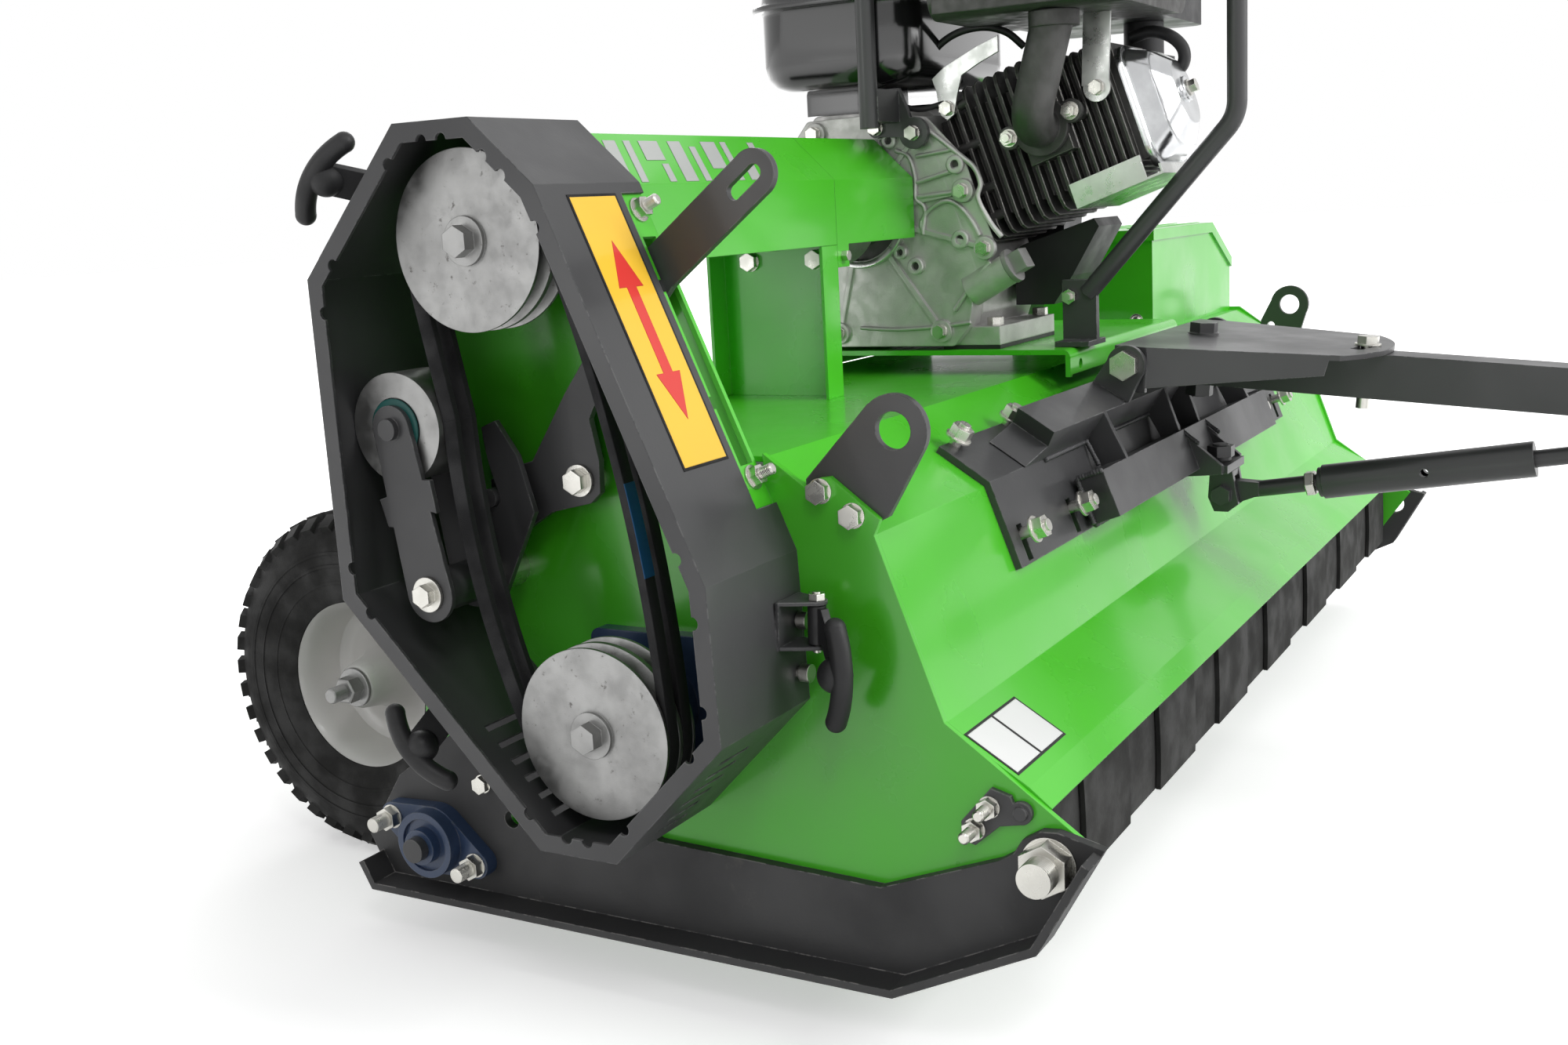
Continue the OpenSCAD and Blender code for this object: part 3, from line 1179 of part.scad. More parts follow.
// Fasteners
module fasteners_deck() home() color(zinc) {
  for (p = eye_bolts) xbolt(xn, p[0], p[1], 15, 8, 5, 18);
  for (p = tri_bolts) xstud(xn - 4, p[0], p[1], 13, 8, 4, 20);
  for (p = tri_bolts) xcyl(p[0], p[1], 4, xn - 4.1, xn + 5, 20);
  xstud(xn - 8, -304, 146, 32, 15, 12, 30);
  xcyl(-304, 146, 12, xn - 8.1, xn, 24);
  // Bolts of the roller bearing
  for (s = [-1, 1]) {
    xstud(xn - 20, roller_y + s * 45 * cos(bear_a), roller_z + s * 45 * sin(bear_a), 17, 10, 6, 24);
    xcyl(roller_y + s * 45 * cos(bear_a), roller_z + s * 45 * sin(bear_a), 6, xn - 20.1, xn, 20);
  }
  xbolt(xn - 8, 176, 139, 13, 7, 4, 8);
  // Pins of the lever and of the tensioner arm
  xcyl(lev_y, lev_z, 8, xn - 20, xn + plate_t, 32);
  xcyl(lev_y, lev_z, 12, xn - 21, xn - 18.3, 32);
  translate([xn - 29, lev_y, lev_z]) rotate([0, 90, 0]) cylinder(r = 9.2, h = 8.01, $fn = 6);
  xcyl(lev_y, lev_z, 11, xn - 11.7, xn, 32);
  xcyl(arm_y, arm_z, 10, xn - 100, xn + plate_t, 32);
  xcyl(arm_y, arm_z, 15, xn - 44.7, xn - 33.3, 32);
  xcyl(arm_y, arm_z, 15, xn - 27.7, xn, 32);
  xcyl(arm_y, arm_z, 13, xn - 101, xn - 98.3, 32);
  translate([xn - 108, arm_y, arm_z]) rotate([0, 90, 0]) cylinder(r = 8.5, h = 7.01, $fn = 6);
  // Studs of the guide
  for (s = guide_studs)
    translate([xn - 12, w_top[0], w_top[1]]) rotate([w_ang, 0, 0]) translate([0, s, 2.8])
      rotate([180, 0, 0]) {
      cylinder(r = 9, h = 1.6, $fn = 24);
      cylinder(r = 7.5, h = 8, $fn = 6);
      translate([0, 0, -4]) cylinder(r = 4, h = 22, $fn = 20);
    }
  // Screws of the case wall
  for (z = [262, 300]) {
    ycyl(xn - 12, z, 4, -134, -121.2, 20);
    ycyl(xn - 12, z, 6.5, -134, -126.6, 20);
  }
  // Bolts of the tunnel bracket and the clutch cover
  for (y = [drive_y - 40, drive_y + 28]) xbolt(-320.5, y, 534, 15, 8, 5, 3.5);
  ycyl(-306, drive_z - 34, 5, drive_y - 66, drive_y - 60.1, 6);
  // Latch pins
  for (l = latches) bar(l[0] - unit(l[2]) * 20, l[0] + unit(l[2]) * 23, 3, 20);
  for (l = latches) bar(l[0] + unit(l[2]) * 17.2, l[0] + unit(l[2]) * 22, 6.3, 6);
}

module fasteners_hitch() home() color(zinc) {
  for (x = bolt_x) {
    translate([x, -144, 387.6] + [0, -3.268, 5.032]) rotate([33, 0, 0]) hitch_bolt();
    translate([x, -204, 319.5] + [0, -5.62, 2.1]) rotate([69.5, 0, 0]) hitch_bolt();
  }
  // Bolts of the pitch hinge
  for (s = [-1, 1]) {
    xcyl(pit_y, pit_z, 8, hx + s * (ear_x - 3) - 14, hx + s * (ear_x - 3) + 14, 32);
    translate([hx + s * (ear_x + 11) - 4.7, pit_y, pit_z]) rotate([0, 90, 0]) cylinder(r = 13.8, h = 9.4,
      $fn = 6);
    translate([hx + s * (ear_x - 17) - 4.7, pit_y, pit_z]) rotate([0, 90, 0]) cylinder(r = 10.4, h = 9.4,
      $fn = 6);
  }
}
module hitch_bolt() {
  translate([0, 0, 0.2]) cylinder(r = 11, h = 2, $fn = 24);
  translate([0, 0, 2.1]) cylinder(r = 9.5, h = 9, $fn = 6);
  translate([0, 0, -16]) cylinder(r = 5, h = 30, $fn = 20);
}

module fasteners_engine() home() color(zinc) {
  for (b = cover_bolts) {
    g = (b == cover_bolts[4] || b == cover_bolts[5]) ? 11.2 : 5;
    xbolt(ex - g, drive_y + b[0], drive_z + b[1], 12, 8, 4, g + 8);
  }
  // Bolts of the exhaust flange, the strap, the bracket plate and the valve cover
  bore_frame() for (s = [-1, 1]) translate([0, port_y + 2, port_z + s * 32]) {
    translate([-84, 0, 0]) rotate([0, 90, 0]) cylinder(r = 8.5, h = 1.7, $fn = 24);
    translate([-91, 0, 0]) rotate([0, 90, 0]) cylinder(r = 7, h = 7.1, $fn = 6);
    translate([-94, 0, 0]) rotate([0, 90, 0]) cylinder(r = 4, h = 28, $fn = 20);
  }
  xbolt(-124.4, strap_p[0], strap_p[1], 12, 7, 4, 14);
  xbolt(-128.4, bracket_p[0], bracket_p[1], 12, 7, 4, 14);
  bore_frame() translate([6, -2, 318.6]) {
    cylinder(r = 8, h = 1.5, $fn = 24);
    cylinder(r = 6.5, h = 8, $fn = 6);
  }
  // Foot bolts
  for (x = [ex + 24, ex + 146]) for (y = [-130, 98])
    translate([x, drive_y + y, drive_z - 113]) cylinder(r = 8, h = 8, $fn = 6);
  xcyl(-124, 482, 4, -112, -88, 20);
  translate([-107, -124, 482]) rotate([0, 90, 0]) cylinder(r = 7.5, h = 6, $fn = 6);
}

// Place of the whole machine
// Shift that puts the middle of the whole machine over the origin
nose_dy = bar_y0 - bar_len - 70 - pit_y;
nose_y = pit_y + nose_dy * cos(bar_tilt) - 18.7 * sin(bar_tilt);
shift_x = -(xn - case_d + xf + shaft_out) / 2;
shift_y = -(nose_y + wheel_y + wheel_d / 2) / 2;
// Assembly
deck_shell();
side_plate_near();
side_plate_far();
skids();
belt_case();
drive_tunnel();
clutch_cover();
tunnel_bracket();
engine_platform();
battery_box();
lifting_eyes();
hitch_base();
hitch_frame();
flap_rod();
bearing_housings();
wheel_arms();
crankcase();
cylinder_barrel();
valve_cover();
engine_brackets();
oil_caps();
exhaust();
muffler();
fuel_tank();
air_filter();
carburettor();
fan_shroud();
guard_frame();
engine_mounts();
belts();
fasteners_deck();
fasteners_hitch();
fasteners_engine();
drive_pulley();
drive_shaft();
rotor();
rotor_pulley();
flails_a();
flails_b();
flails_c();
tensioner_arm();
tensioner_roller();
lever();
latch_top();
latch_low();
latch_front();
roller();
tyre_near();
rim_near();
tyre_far();
rim_far();
hitch_plate();
drawbar();
drawbar_lug();
lock_bolt();
turnbuckle_swivel();
turnbuckle_eye();
turnbuckle_tube();
turnbuckle_rod();
flaps();
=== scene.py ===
import json
import math

import bmesh
import bpy
from mathutils import Matrix, Vector

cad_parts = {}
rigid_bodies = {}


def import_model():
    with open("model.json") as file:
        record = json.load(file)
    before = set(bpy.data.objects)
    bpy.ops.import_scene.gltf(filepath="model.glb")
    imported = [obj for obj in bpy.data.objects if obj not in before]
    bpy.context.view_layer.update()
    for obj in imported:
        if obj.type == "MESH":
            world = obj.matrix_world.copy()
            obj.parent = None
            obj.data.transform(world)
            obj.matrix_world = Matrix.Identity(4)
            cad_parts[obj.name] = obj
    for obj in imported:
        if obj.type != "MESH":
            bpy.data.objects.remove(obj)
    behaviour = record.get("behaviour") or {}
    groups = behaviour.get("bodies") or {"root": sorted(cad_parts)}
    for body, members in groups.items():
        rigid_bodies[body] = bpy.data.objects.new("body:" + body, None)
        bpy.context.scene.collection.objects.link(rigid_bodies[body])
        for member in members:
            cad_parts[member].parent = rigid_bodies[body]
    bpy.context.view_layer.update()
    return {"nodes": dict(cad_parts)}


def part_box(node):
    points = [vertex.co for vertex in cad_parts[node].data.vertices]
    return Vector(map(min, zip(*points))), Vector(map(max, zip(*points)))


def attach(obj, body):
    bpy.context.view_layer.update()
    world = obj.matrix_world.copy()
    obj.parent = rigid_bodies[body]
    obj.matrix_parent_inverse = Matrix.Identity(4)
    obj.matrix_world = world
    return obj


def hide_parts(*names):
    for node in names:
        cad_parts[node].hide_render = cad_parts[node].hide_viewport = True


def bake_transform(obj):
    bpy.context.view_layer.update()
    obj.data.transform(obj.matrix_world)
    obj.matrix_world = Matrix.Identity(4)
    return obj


for o in list(bpy.data.objects):
    bpy.data.objects.remove(o)

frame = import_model()
nodes = frame["nodes"]

X = Vector((1, 0, 0))
Z = Vector((0, 0, 1))

# The source works in its own frame; these shifts put it over the middle of the box, in mm
SX, SY = 37.0, 311.686

# Places of the source that the details share, in mm, as (y, z)
CRANK = (75.0, 570.0)
ROTOR = (0.0, 226.0)
IDLER = (153.0, 440.0)
ROLLER = (224, 88)
WHEEL = (415, 165)
FLAP_ROD = (-283, 177)
CASE_TOP = (-9.7, 603.8)

# Places across the machine, as x in mm: deck's near side, hitch, crankcase cover, wheels
SIDE_X = -657.5
HITCH_X = -16
COVER_X = -149.2
WHEEL_X = 499


def at(x, y, z):
    """Point of the scene in metres from a point of the source in mm."""
    return Vector(((x + SX) / 1000, (y + SY) / 1000, z / 1000))


# Materials
class Mat:
    """Small builder of node materials in object space."""

    def __init__(self, name, color, rough, metal=0.0, coat=0.0, spec=0.5):
        self.m = bpy.data.materials.new(name)
        self.m.use_nodes = True
        self.t = self.m.node_tree
        self.b = self.t.nodes["Principled BSDF"]
        self.set("Base Color", (*color, 1))
        self.set("Roughness", rough)
        self.set("Metallic", metal)
        self.set("Coat Weight", coat)
        self.set("Coat Roughness", 0.12)
        self.set("Specular IOR Level", spec)
        self.color = color
        self.co = self.t.nodes.new("ShaderNodeTexCoord").outputs["Object"]
        self.normal = None

    def set(self, name, v):
        self.b.inputs[name].default_value = v

    def link(self, a, b):
        self.t.links.new(a, b)

    def node(self, kind, **k):
        n = self.t.nodes.new(kind)
        for a, v in k.items():
            setattr(n, a, v)
        return n

    def noise(self, scale, detail, rough=0.5, stretch=None, distortion=0.0):
        n = self.node("ShaderNodeTexNoise")
        co = self.co
        if stretch:
            mp = self.node("ShaderNodeMapping")
            mp.inputs["Scale"].default_value = stretch
            self.link(co, mp.inputs["Vector"])
            co = mp.outputs["Vector"]
        self.link(co, n.inputs["Vector"])
        n.inputs["Scale"].default_value = scale
        n.inputs["Detail"].default_value = detail
        n.inputs["Roughness"].default_value = rough
        n.inputs["Distortion"].default_value = distortion
        return n.outputs["Fac"]

    def ramp(self, fac, a, b, va=0.0, vb=1.0):
        """Smooth step that takes fac from a..b to va..vb."""
        n = self.node("ShaderNodeMapRange")
        n.interpolation_type = "SMOOTHSTEP"
        self.link(fac, n.inputs["Value"])
        for i, v in zip(("From Min", "From Max", "To Min", "To Max"), (a, b, va, vb)):
            n.inputs[i].default_value = v
        return n.outputs["Result"]

    def bevel(self, radius):
        """Normal that rounds the edges by a radius in metres."""
        bv = self.node("ShaderNodeBevel", samples=4)
        bv.inputs["Radius"].default_value = radius
        return bv.outputs["Normal"]

    def edge(self, radius):
        """Mask that is 1 on the edges, where the rounded normal departs from the plain one."""
        d = self.node("ShaderNodeVectorMath", operation="DOT_PRODUCT")
        self.link(self.bevel(radius), d.inputs[0])
        self.link(self.node("ShaderNodeNewGeometry").outputs["Normal"], d.inputs[1])
        return self.ramp(d.outputs["Value"], 0.995, 0.86)

    def round(self, radius):
        self.normal = self.bevel(radius)
        self.link(self.normal, self.b.inputs["Normal"])

    def over(self, mask, color, rough=None, metal=None):
        """Puts another colour where the mask is 1."""
        for name, value in (("Base Color", (*color, 1)), ("Roughness", rough), ("Metallic", metal)):
            if value is None:
                continue
            s = self.b.inputs[name]
            mx = self.node("ShaderNodeMix", data_type="RGBA" if name == "Base Color" else "FLOAT")
            ia, ib, out = (6, 7, 2) if name == "Base Color" else (2, 3, 0)
            if s.links:
                self.link(s.links[0].from_socket, mx.inputs[ia])
            else:
                mx.inputs[ia].default_value = s.default_value
            mx.inputs[ib].default_value = value
            self.link(mask, mx.inputs[0])
            self.link(mx.outputs[out], s)

    def tone(self, fac, dark, light):
        """Lighter and darker patches of the base colour."""
        self.over(self.ramp(fac, 0.35, 0.65), tuple(min(1, c * light) for c in self.color))
        self.over(self.ramp(fac, 0.62, 0.30), tuple(c * dark for c in self.color))

    def rough_by(self, fac, a, b):
        self.link(self.ramp(fac, 0.3, 0.7, a, b), self.b.inputs["Roughness"])

    def bump(self, fac, strength, dist=0.001):
        n = self.node("ShaderNodeBump")
        n.inputs["Strength"].default_value = strength
        n.inputs["Distance"].default_value = dist
        self.link(fac, n.inputs["Height"])
        if self.normal is not None:
            self.link(self.normal, n.inputs["Normal"])
        self.normal = n.outputs["Normal"]
        self.link(self.normal, self.b.inputs["Normal"])

    def mix_mask(self, a, b):
        n = self.node("ShaderNodeMath", operation="MULTIPLY")
        self.link(a, n.inputs[0])
        self.link(b, n.inputs[1])
        return n.outputs["Value"]


def paint(name, color, rough, coat, wear=None, peel=0.05, edge=0.0012, dust=0.0):
    """Paint with orange peel, and where asked worn edges and dust."""
    m = Mat(name, color, rough, 0.0, coat)
    m.round(edge)
    m.tone(m.noise(3.0, 4), 0.92, 1.06)
    m.rough_by(m.noise(9.0, 5), rough * 0.8, rough * 1.35)
    m.bump(m.noise(420.0, 2), peel, 0.0006)
    if dust:
        m.over(m.ramp(m.noise(14.0, 8, 0.7), 0.62, 0.85, 0, dust), (0.30, 0.28, 0.24), 0.8)
    if wear:
        spots = m.ramp(m.noise(60.0, 6, 0.65), 0.46, 0.56)
        m.over(m.mix_mask(m.edge(0.0016), spots), wear, 0.45)
    return m.m


def steel(name, color, rough, metal, scratch, spots=0.0, edge=0.0008):
    """Brushed metal, and where asked with dark and dull spots."""
    m = Mat(name, color, rough, metal)
    m.round(edge)
    m.tone(m.noise(24.0, 5), 0.86, 1.08)
    m.rough_by(m.noise(55.0, 6, 0.6), rough * 0.75, rough * 1.4)
    if spots:
        small = m.ramp(m.noise(150.0, 8, 0.72), 0.60, 0.70, 0, spots)
        m.over(small, (0.10, 0.09, 0.08), 0.7, 0.3)
        large = m.ramp(m.noise(38.0, 8, 0.8, distortion=1.5), 0.62, 0.74, 0, spots)
        m.over(large, (0.22, 0.21, 0.20), 0.6, 0.6)
    m.bump(m.noise(260.0, 4, 0.6, stretch=(1, 1, 14)), scratch, 0.0005)
    return m.m


def rubber(name, color, rough, bump, scale=900.0):
    m = Mat(name, color, rough, 0.0, 0.0, 0.35)
    m.round(0.001)
    m.tone(m.noise(11.0, 5), 0.8, 1.25)
    m.rough_by(m.noise(30.0, 4), rough * 0.85, min(1, rough * 1.3))
    m.bump(m.noise(scale, 3), bump, 0.0006)
    return m.m


def cast(name, color, rough, metal, grain=700.0, strength=0.35, edge=None):
    """Cast metal with a grain, and where asked bright edges, which are a painted highlight."""
    m = Mat(name, color, rough, metal)
    m.round(0.002)
    m.tone(m.noise(18.0, 6), 0.85, 1.1)
    # Lighter metal on the edges: painted highlight
    if edge:
        m.over(m.edge(0.0014), edge, 0.36, 0.8)
    m.rough_by(m.noise(70.0, 5), rough * 0.8, rough * 1.3)
    m.bump(m.noise(grain, 4, 0.6), strength, 0.0008)
    return m.m


GREEN = (0.075, 0.560, 0.018)
GREY = (0.044, 0.044, 0.046)
SKID = (0.030, 0.030, 0.031)
MATERIALS = {
    "green": paint("green_paint_m", GREEN, 0.30, 0.42, peel=0.04),
    "dark": paint("grey_paint_m", GREY, 0.42, 0.12, wear=(0.20, 0.20, 0.20), peel=0.10),
    "skid": paint("skid_paint_m", SKID, 0.55, 0.02, wear=(0.30, 0.29, 0.28), peel=0.12, dust=0.35),
    "steel": steel("pulley_m", (0.29, 0.29, 0.285), 0.40, 0.9, 0.15, spots=0.65),
    "zinc": steel("zinc_m", (0.58, 0.57, 0.53), 0.28, 1.0, 0.08),
    "blue": paint("blue_paint_m", (0.035, 0.065, 0.14), 0.35, 0.2, wear=(0.12, 0.14, 0.18), peel=0.25),
    "alloy": cast("cast_alloy_m", (0.52, 0.515, 0.50), 0.45, 0.55),
    # The fins of the black cast get lighter metal on their edges: painted highlight
    "blackcast": cast("black_cast_m", (0.050, 0.049, 0.047), 0.46, 0.4, edge=(0.36, 0.35, 0.33)),
    "chrome": steel("chrome_m", (0.62, 0.63, 0.64), 0.13, 1.0, 0.02, edge=0.003),
    # Sooty steel of the exhaust, also used as painted shade in the bores of the cover and in the
    # keyways
    "soot_and_shade": cast("sooty_steel_and_shade_m", (0.075, 0.074, 0.072), 0.50, 0.45, 300.0, 0.3),
    "gloss": paint("gloss_black_m", (0.010, 0.010, 0.011), 0.10, 0.7, peel=0.02, edge=0.006),
    "matte": rubber("matte_plastic_m", (0.018, 0.018, 0.019), 0.42, 0.12),
    "rubber": rubber("rubber_m", (0.020, 0.020, 0.021), 0.50, 0.15),
    "belt": rubber("belt_m", (0.013, 0.013, 0.014), 0.72, 0.5, 1500.0),
    "flap": rubber("flap_m", (0.020, 0.020, 0.019), 0.80, 0.3, 400.0),
    "tyre": rubber("tyre_m", (0.014, 0.0138, 0.0135), 0.72, 0.35, 500.0),
    "rim": paint("rim_m", (0.72, 0.71, 0.69), 0.32, 0.3, peel=0.05),
    "yellow": paint("yellow_m", (0.95, 0.56, 0.03), 0.35, 0.3, peel=0.01),
    "red": paint("red_m", (0.72, 0.03, 0.02), 0.35, 0.3, peel=0.01),
    "white": paint("sticker_m", (0.78, 0.78, 0.78), 0.35, 0.3, peel=0.01),
    "silver": paint("stripe_m", (0.46, 0.48, 0.46), 0.35, 0.3, peel=0.01),
    "teal": rubber("seal_m", (0.01, 0.09, 0.08), 0.45, 0.1),
    "bluebelt": rubber("belt_mark_m", (0.02, 0.12, 0.30), 0.6, 0.2),
    "hoseblack": rubber("line_rubber_m", (0.022, 0.022, 0.023), 0.45, 0.1),
    "sheet": steel("bright_sheet_m", (0.60, 0.61, 0.59), 0.30, 0.9, 0.06),
    "cap": cast("cap_m", (0.30, 0.30, 0.29), 0.45, 0.3, 500.0, 0.1),
    "weld": cast("weld_m", (0.062, 0.062, 0.065), 0.38, 0.1, 300.0, 0.6),
}

NODES_OF = {
    "green": "deck_shell side_plate_near side_plate_far drive_tunnel clutch_cover tunnel_bracket "
    "engine_platform battery_box",
    "dark": "belt_case lifting_eyes hitch_base hitch_frame flap_rod wheel_arms guard_frame hitch_plate "
    "drawbar drawbar_lug roller turnbuckle_swivel turnbuckle_eye turnbuckle_tube turnbuckle_rod lever "
    "rotor flails_a flails_b flails_c tensioner_arm",
    "skid": "skids",
    "blue": "bearing_housings",
    "alloy": "crankcase",
    "blackcast": "cylinder_barrel",
    "chrome": "valve_cover",
    "soot_and_shade": "exhaust muffler",
    "gloss": "fuel_tank",
    "matte": "air_filter carburettor fan_shroud",
    "rubber": "engine_mounts latch_top latch_low latch_front",
    "belt": "belts",
    "zinc": "fasteners_deck fasteners_hitch fasteners_engine lock_bolt",
    "sheet": "engine_brackets",
    "cap": "oil_caps",
    "steel": "drive_pulley drive_shaft rotor_pulley tensioner_roller",
    "tyre": "tyre_near tyre_far",
    "rim": "rim_near rim_far",
    "flap": "flaps",
}
for mat, names in NODES_OF.items():
    for name in names.split():
        o = nodes[name]
        for s in o.material_slots:
            s.material = MATERIALS[mat]
        if not o.material_slots:
            o.data.materials.append(MATERIALS[mat])

# Camera: place in mm of the source, turns in degrees, lens in mm on a film 36 mm wide
EYE = (-1624.2, -669.9, 579.7)
YAW, PITCH, ROLL = 30.01, 10.856, 3.110
LENS = 37.4544

yaw, pitch, roll = math.radians(YAW), math.radians(PITCH), math.radians(ROLL)
look = Vector((math.cos(pitch) * math.cos(yaw), math.cos(pitch) * math.sin(yaw), -math.sin(pitch)))
level = look.cross(Z).normalized()
plumb = look.cross(level)
right = math.cos(roll) * level + math.sin(roll) * plumb
down = -math.sin(roll) * level + math.cos(roll) * plumb
cam_data = bpy.data.cameras.new("camera")
cam = bpy.data.objects.new("camera", cam_data)
bpy.context.scene.collection.objects.link(cam)
cam.matrix_world = Matrix.Translation(at(*EYE)) @ Matrix((right, -down, -look)).transposed().to_4x4()
cam_data.lens = LENS
cam_data.sensor_width = 36.0
cam_data.clip_start = 0.05
cam_data.clip_end = 60
bpy.context.scene.camera = cam


# Floor and background: white to the camera and in reflections, dimmer as light on the object
def seen(tree):
    """1 for camera, glossy and transmission rays, 0 for the light that falls on the object."""
    path = tree.nodes.new("ShaderNodeLightPath")
    out = path.outputs["Is Camera Ray"]
    for name in ("Is Glossy Ray", "Is Transmission Ray"):
        n = tree.nodes.new("ShaderNodeMath")
        n.operation = "MAXIMUM"
        tree.links.new(out, n.inputs[0])
        tree.links.new(path.outputs[name], n.inputs[1])
        out = n.outputs["Value"]
    return out


bpy.ops.mesh.primitive_plane_add(size=60, location=(0, 0, 0))
floor = bpy.context.object
floor.name = "floor"
fm = Mat("floor_m", (0.86, 0.86, 0.86), 0.9)
dist = fm.node("ShaderNodeVectorMath", operation="LENGTH")
fm.link(fm.co, dist.inputs[0])
glow = fm.ramp(dist.outputs["Value"], 0.75, 2.2, 0.45, 1.0)
ray = seen(fm.t)
fm.link(fm.mix_mask(glow, ray), fm.b.inputs["Emission Strength"])
fm.over(fm.ramp(ray, 1.0, 0.0), (0.30, 0.30, 0.30))
fm.set("Emission Color", (1, 1, 1, 1))
fm.bump(fm.noise(30.0, 2), 0.02)
floor.data.materials.append(fm.m)

# Direction that the sky's light comes from, and how it goes from its dark to its bright side
SKY_DIRECTION = (0.12, -0.52, 0.845)
SKY_RANGE = (-0.05, 0.90, 0.09, 0.80)

world = bpy.data.worlds.new("world")
bpy.context.scene.world = world
world.use_nodes = True
wt = world.node_tree
bg = wt.nodes["Background"]
bg.inputs["Color"].default_value = (1, 1, 1, 1)
wco = wt.nodes.new("ShaderNodeTexCoord")
dot = wt.nodes.new("ShaderNodeVectorMath")
dot.operation = "DOT_PRODUCT"
dot.inputs[1].default_value = SKY_DIRECTION
wr = wt.nodes.new("ShaderNodeMapRange")
wr.interpolation_type = "SMOOTHSTEP"
for q, v in zip(("From Min", "From Max", "To Min", "To Max"), SKY_RANGE):
    wr.inputs[q].default_value = v
wt.links.new(wco.outputs["Generated"], dot.inputs[0])
wt.links.new(dot.outputs["Value"], wr.inputs["Value"])
see = wt.nodes.new("ShaderNodeMath")
see.operation = "MAXIMUM"
wt.links.new(seen(wt), see.inputs[0])
wt.links.new(wr.outputs["Result"], see.inputs[1])
wt.links.new(see.outputs["Value"], bg.inputs["Strength"])


# Lamps, in metres and watts
def area(name, place, aim, size, power):
    d = bpy.data.lights.new(name, "AREA")
    d.shape = "RECTANGLE"
    d.size, d.size_y = size
    d.energy = power
    o = bpy.data.objects.new(name, d)
    bpy.context.scene.collection.objects.link(o)
    o.location = place
    o.rotation_euler = (Vector(aim) - Vector(place)).to_track_quat("-Z", "Y").to_euler()


area("key", (0.2, -3.3, 2.6), (0, -0.1, 0.4), (1.3, 1.3), 84)
area("side", (-3.4, 1.7, 0.9), (-0.6, 0.1, 0.4), (1.0, 1.3), 9)
area("top_side", (-2.6, -1.4, 3.2), (-0.6, 0.0, 0.5), (0.8, 0.8), 16)
area("back", (2.6, 2.8, 2.6), (0, 0, 0.4), (2.0, 1.5), 40)
area("front", (1.8, -3.6, 1.0), (0.2, -0.3, 0.4), (2.2, 0.8), 16)

view = bpy.context.scene.view_settings
view.view_transform = "Standard"
view.look = "None"
view.exposure = 0.0
view.gamma = 1.0


# Helpers for the details; a turned body that ends in a tip has this radius there, in mm
TIP = 0.01


def piece(name, bm, mat, body, smooth=True):
    """Makes an object of a bmesh; it rides on the body where one is named."""
    me = bpy.data.meshes.new(name)
    bmesh.ops.recalc_face_normals(bm, faces=bm.faces)
    bm.to_mesh(me)
    bm.free()
    for p in me.polygons:
        p.use_smooth = smooth
    o = bpy.data.objects.new(name, me)
    bpy.context.scene.collection.objects.link(o)
    me.materials.append(MATERIALS[mat])
    if smooth:
        me.set_sharp_from_angle(angle=math.radians(38))
    if body:
        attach(o, body)
    return o


def basis(d):
    """Two unit vectors square to d and to each other."""
    d = d.normalized()
    a = d.cross(Z if abs(d.z) < 0.9 else X).normalized()
    return a, d.cross(a)


def skin(bm, rings):
    """Wall between neighbouring rings, which all have the same number of points."""
    for u, v in zip(rings, rings[1:]):
        for k in range(len(u)):
            j = (k + 1) % len(u)
            bm.faces.new((u[k], u[j], v[j], v[k]))


def closed_skin(bm, rings):
    """Wall over the rings with a face on both ends."""
    skin(bm, rings)
    bm.faces.new(rings[0])
    bm.faces.new(rings[-1])


def circle(bm, c, a, b, r, seg):
    """Ring of points round c in the plane of a and b, with a radius in mm."""
    turns = (2 * math.pi * k / seg for k in range(seg))
    return [bm.verts.new(c + (a * math.cos(t) + b * math.sin(t)) * r / 1000) for t in turns]


def tube(bm, pts, r, seg):
    """Tube along points in metres, with a radius in mm or one per point."""
    rings = []
    a = None
    for i, p in enumerate(pts):
        d = (pts[min(i + 1, len(pts) - 1)] - pts[max(i - 1, 0)]).normalized()
        if a is None:
            a, _ = basis(d)
        a = (a - d * a.dot(d)).normalized()
        rings.append(circle(bm, p, a, d.cross(a), r[i] if isinstance(r, list) else r, seg))
    closed_skin(bm, rings)


def spline(pts, n):
    """Smooth line with n steps between the points, which are given in mm of the source."""
    p = [at(*q) for q in pts]
    p = [p[0] * 2 - p[1]] + p + [p[-1] * 2 - p[-2]]
    out = []
    for a, b, c, d in zip(p, p[1:], p[2:], p[3:]):
        for k in range(n):
            t = k / n
            square = (2 * a - 5 * b + 4 * c - d) * t * t
            cube = (3 * b - a - 3 * c + d) * t ** 3
            out.append(0.5 * (2 * b + (c - a) * t + square + cube))
    out.append(p[-2])
    return out


def lathe(bm, base, axis, prof, seg, caps=False):
    """Turned body: prof holds (distance along the axis, radius) in mm; caps close its wide ends."""
    a, b = basis(axis)
    d = axis.normalized()
    rows = [circle(bm, base + d * h / 1000, a, b, r, seg) for h, r in prof]
    skin(bm, rows)
    for i in (0, -1):
        if caps and prof[i][1] > TIP:
            bm.faces.new(rows[i])


def slope(y, z, dy, dz):
    """Plane across the machine through (y, z) that falls along (dy, dz), for flat."""
    return at(0, y, z), -Vector((0, dy, dz)).normalized()


def flat(bm, plane, pts, t, lift):
    """Thin plate on a plane: pts hold (x, distance up the plane), all in mm."""
    o, w = plane
    n = X.cross(w)
    lo = [bm.verts.new(o + X * x / 1000 + w * y / 1000 + n * lift / 1000) for x, y in pts]
    hi = [bm.verts.new(v.co + n * t / 1000) for v in lo]
    closed_skin(bm, [lo, hi])


def rect(x0, y0, x1, y1):
    """Outline of a rectangle for flat."""
    return [(x0, y0), (x1, y0), (x1, y1), (x0, y1)]


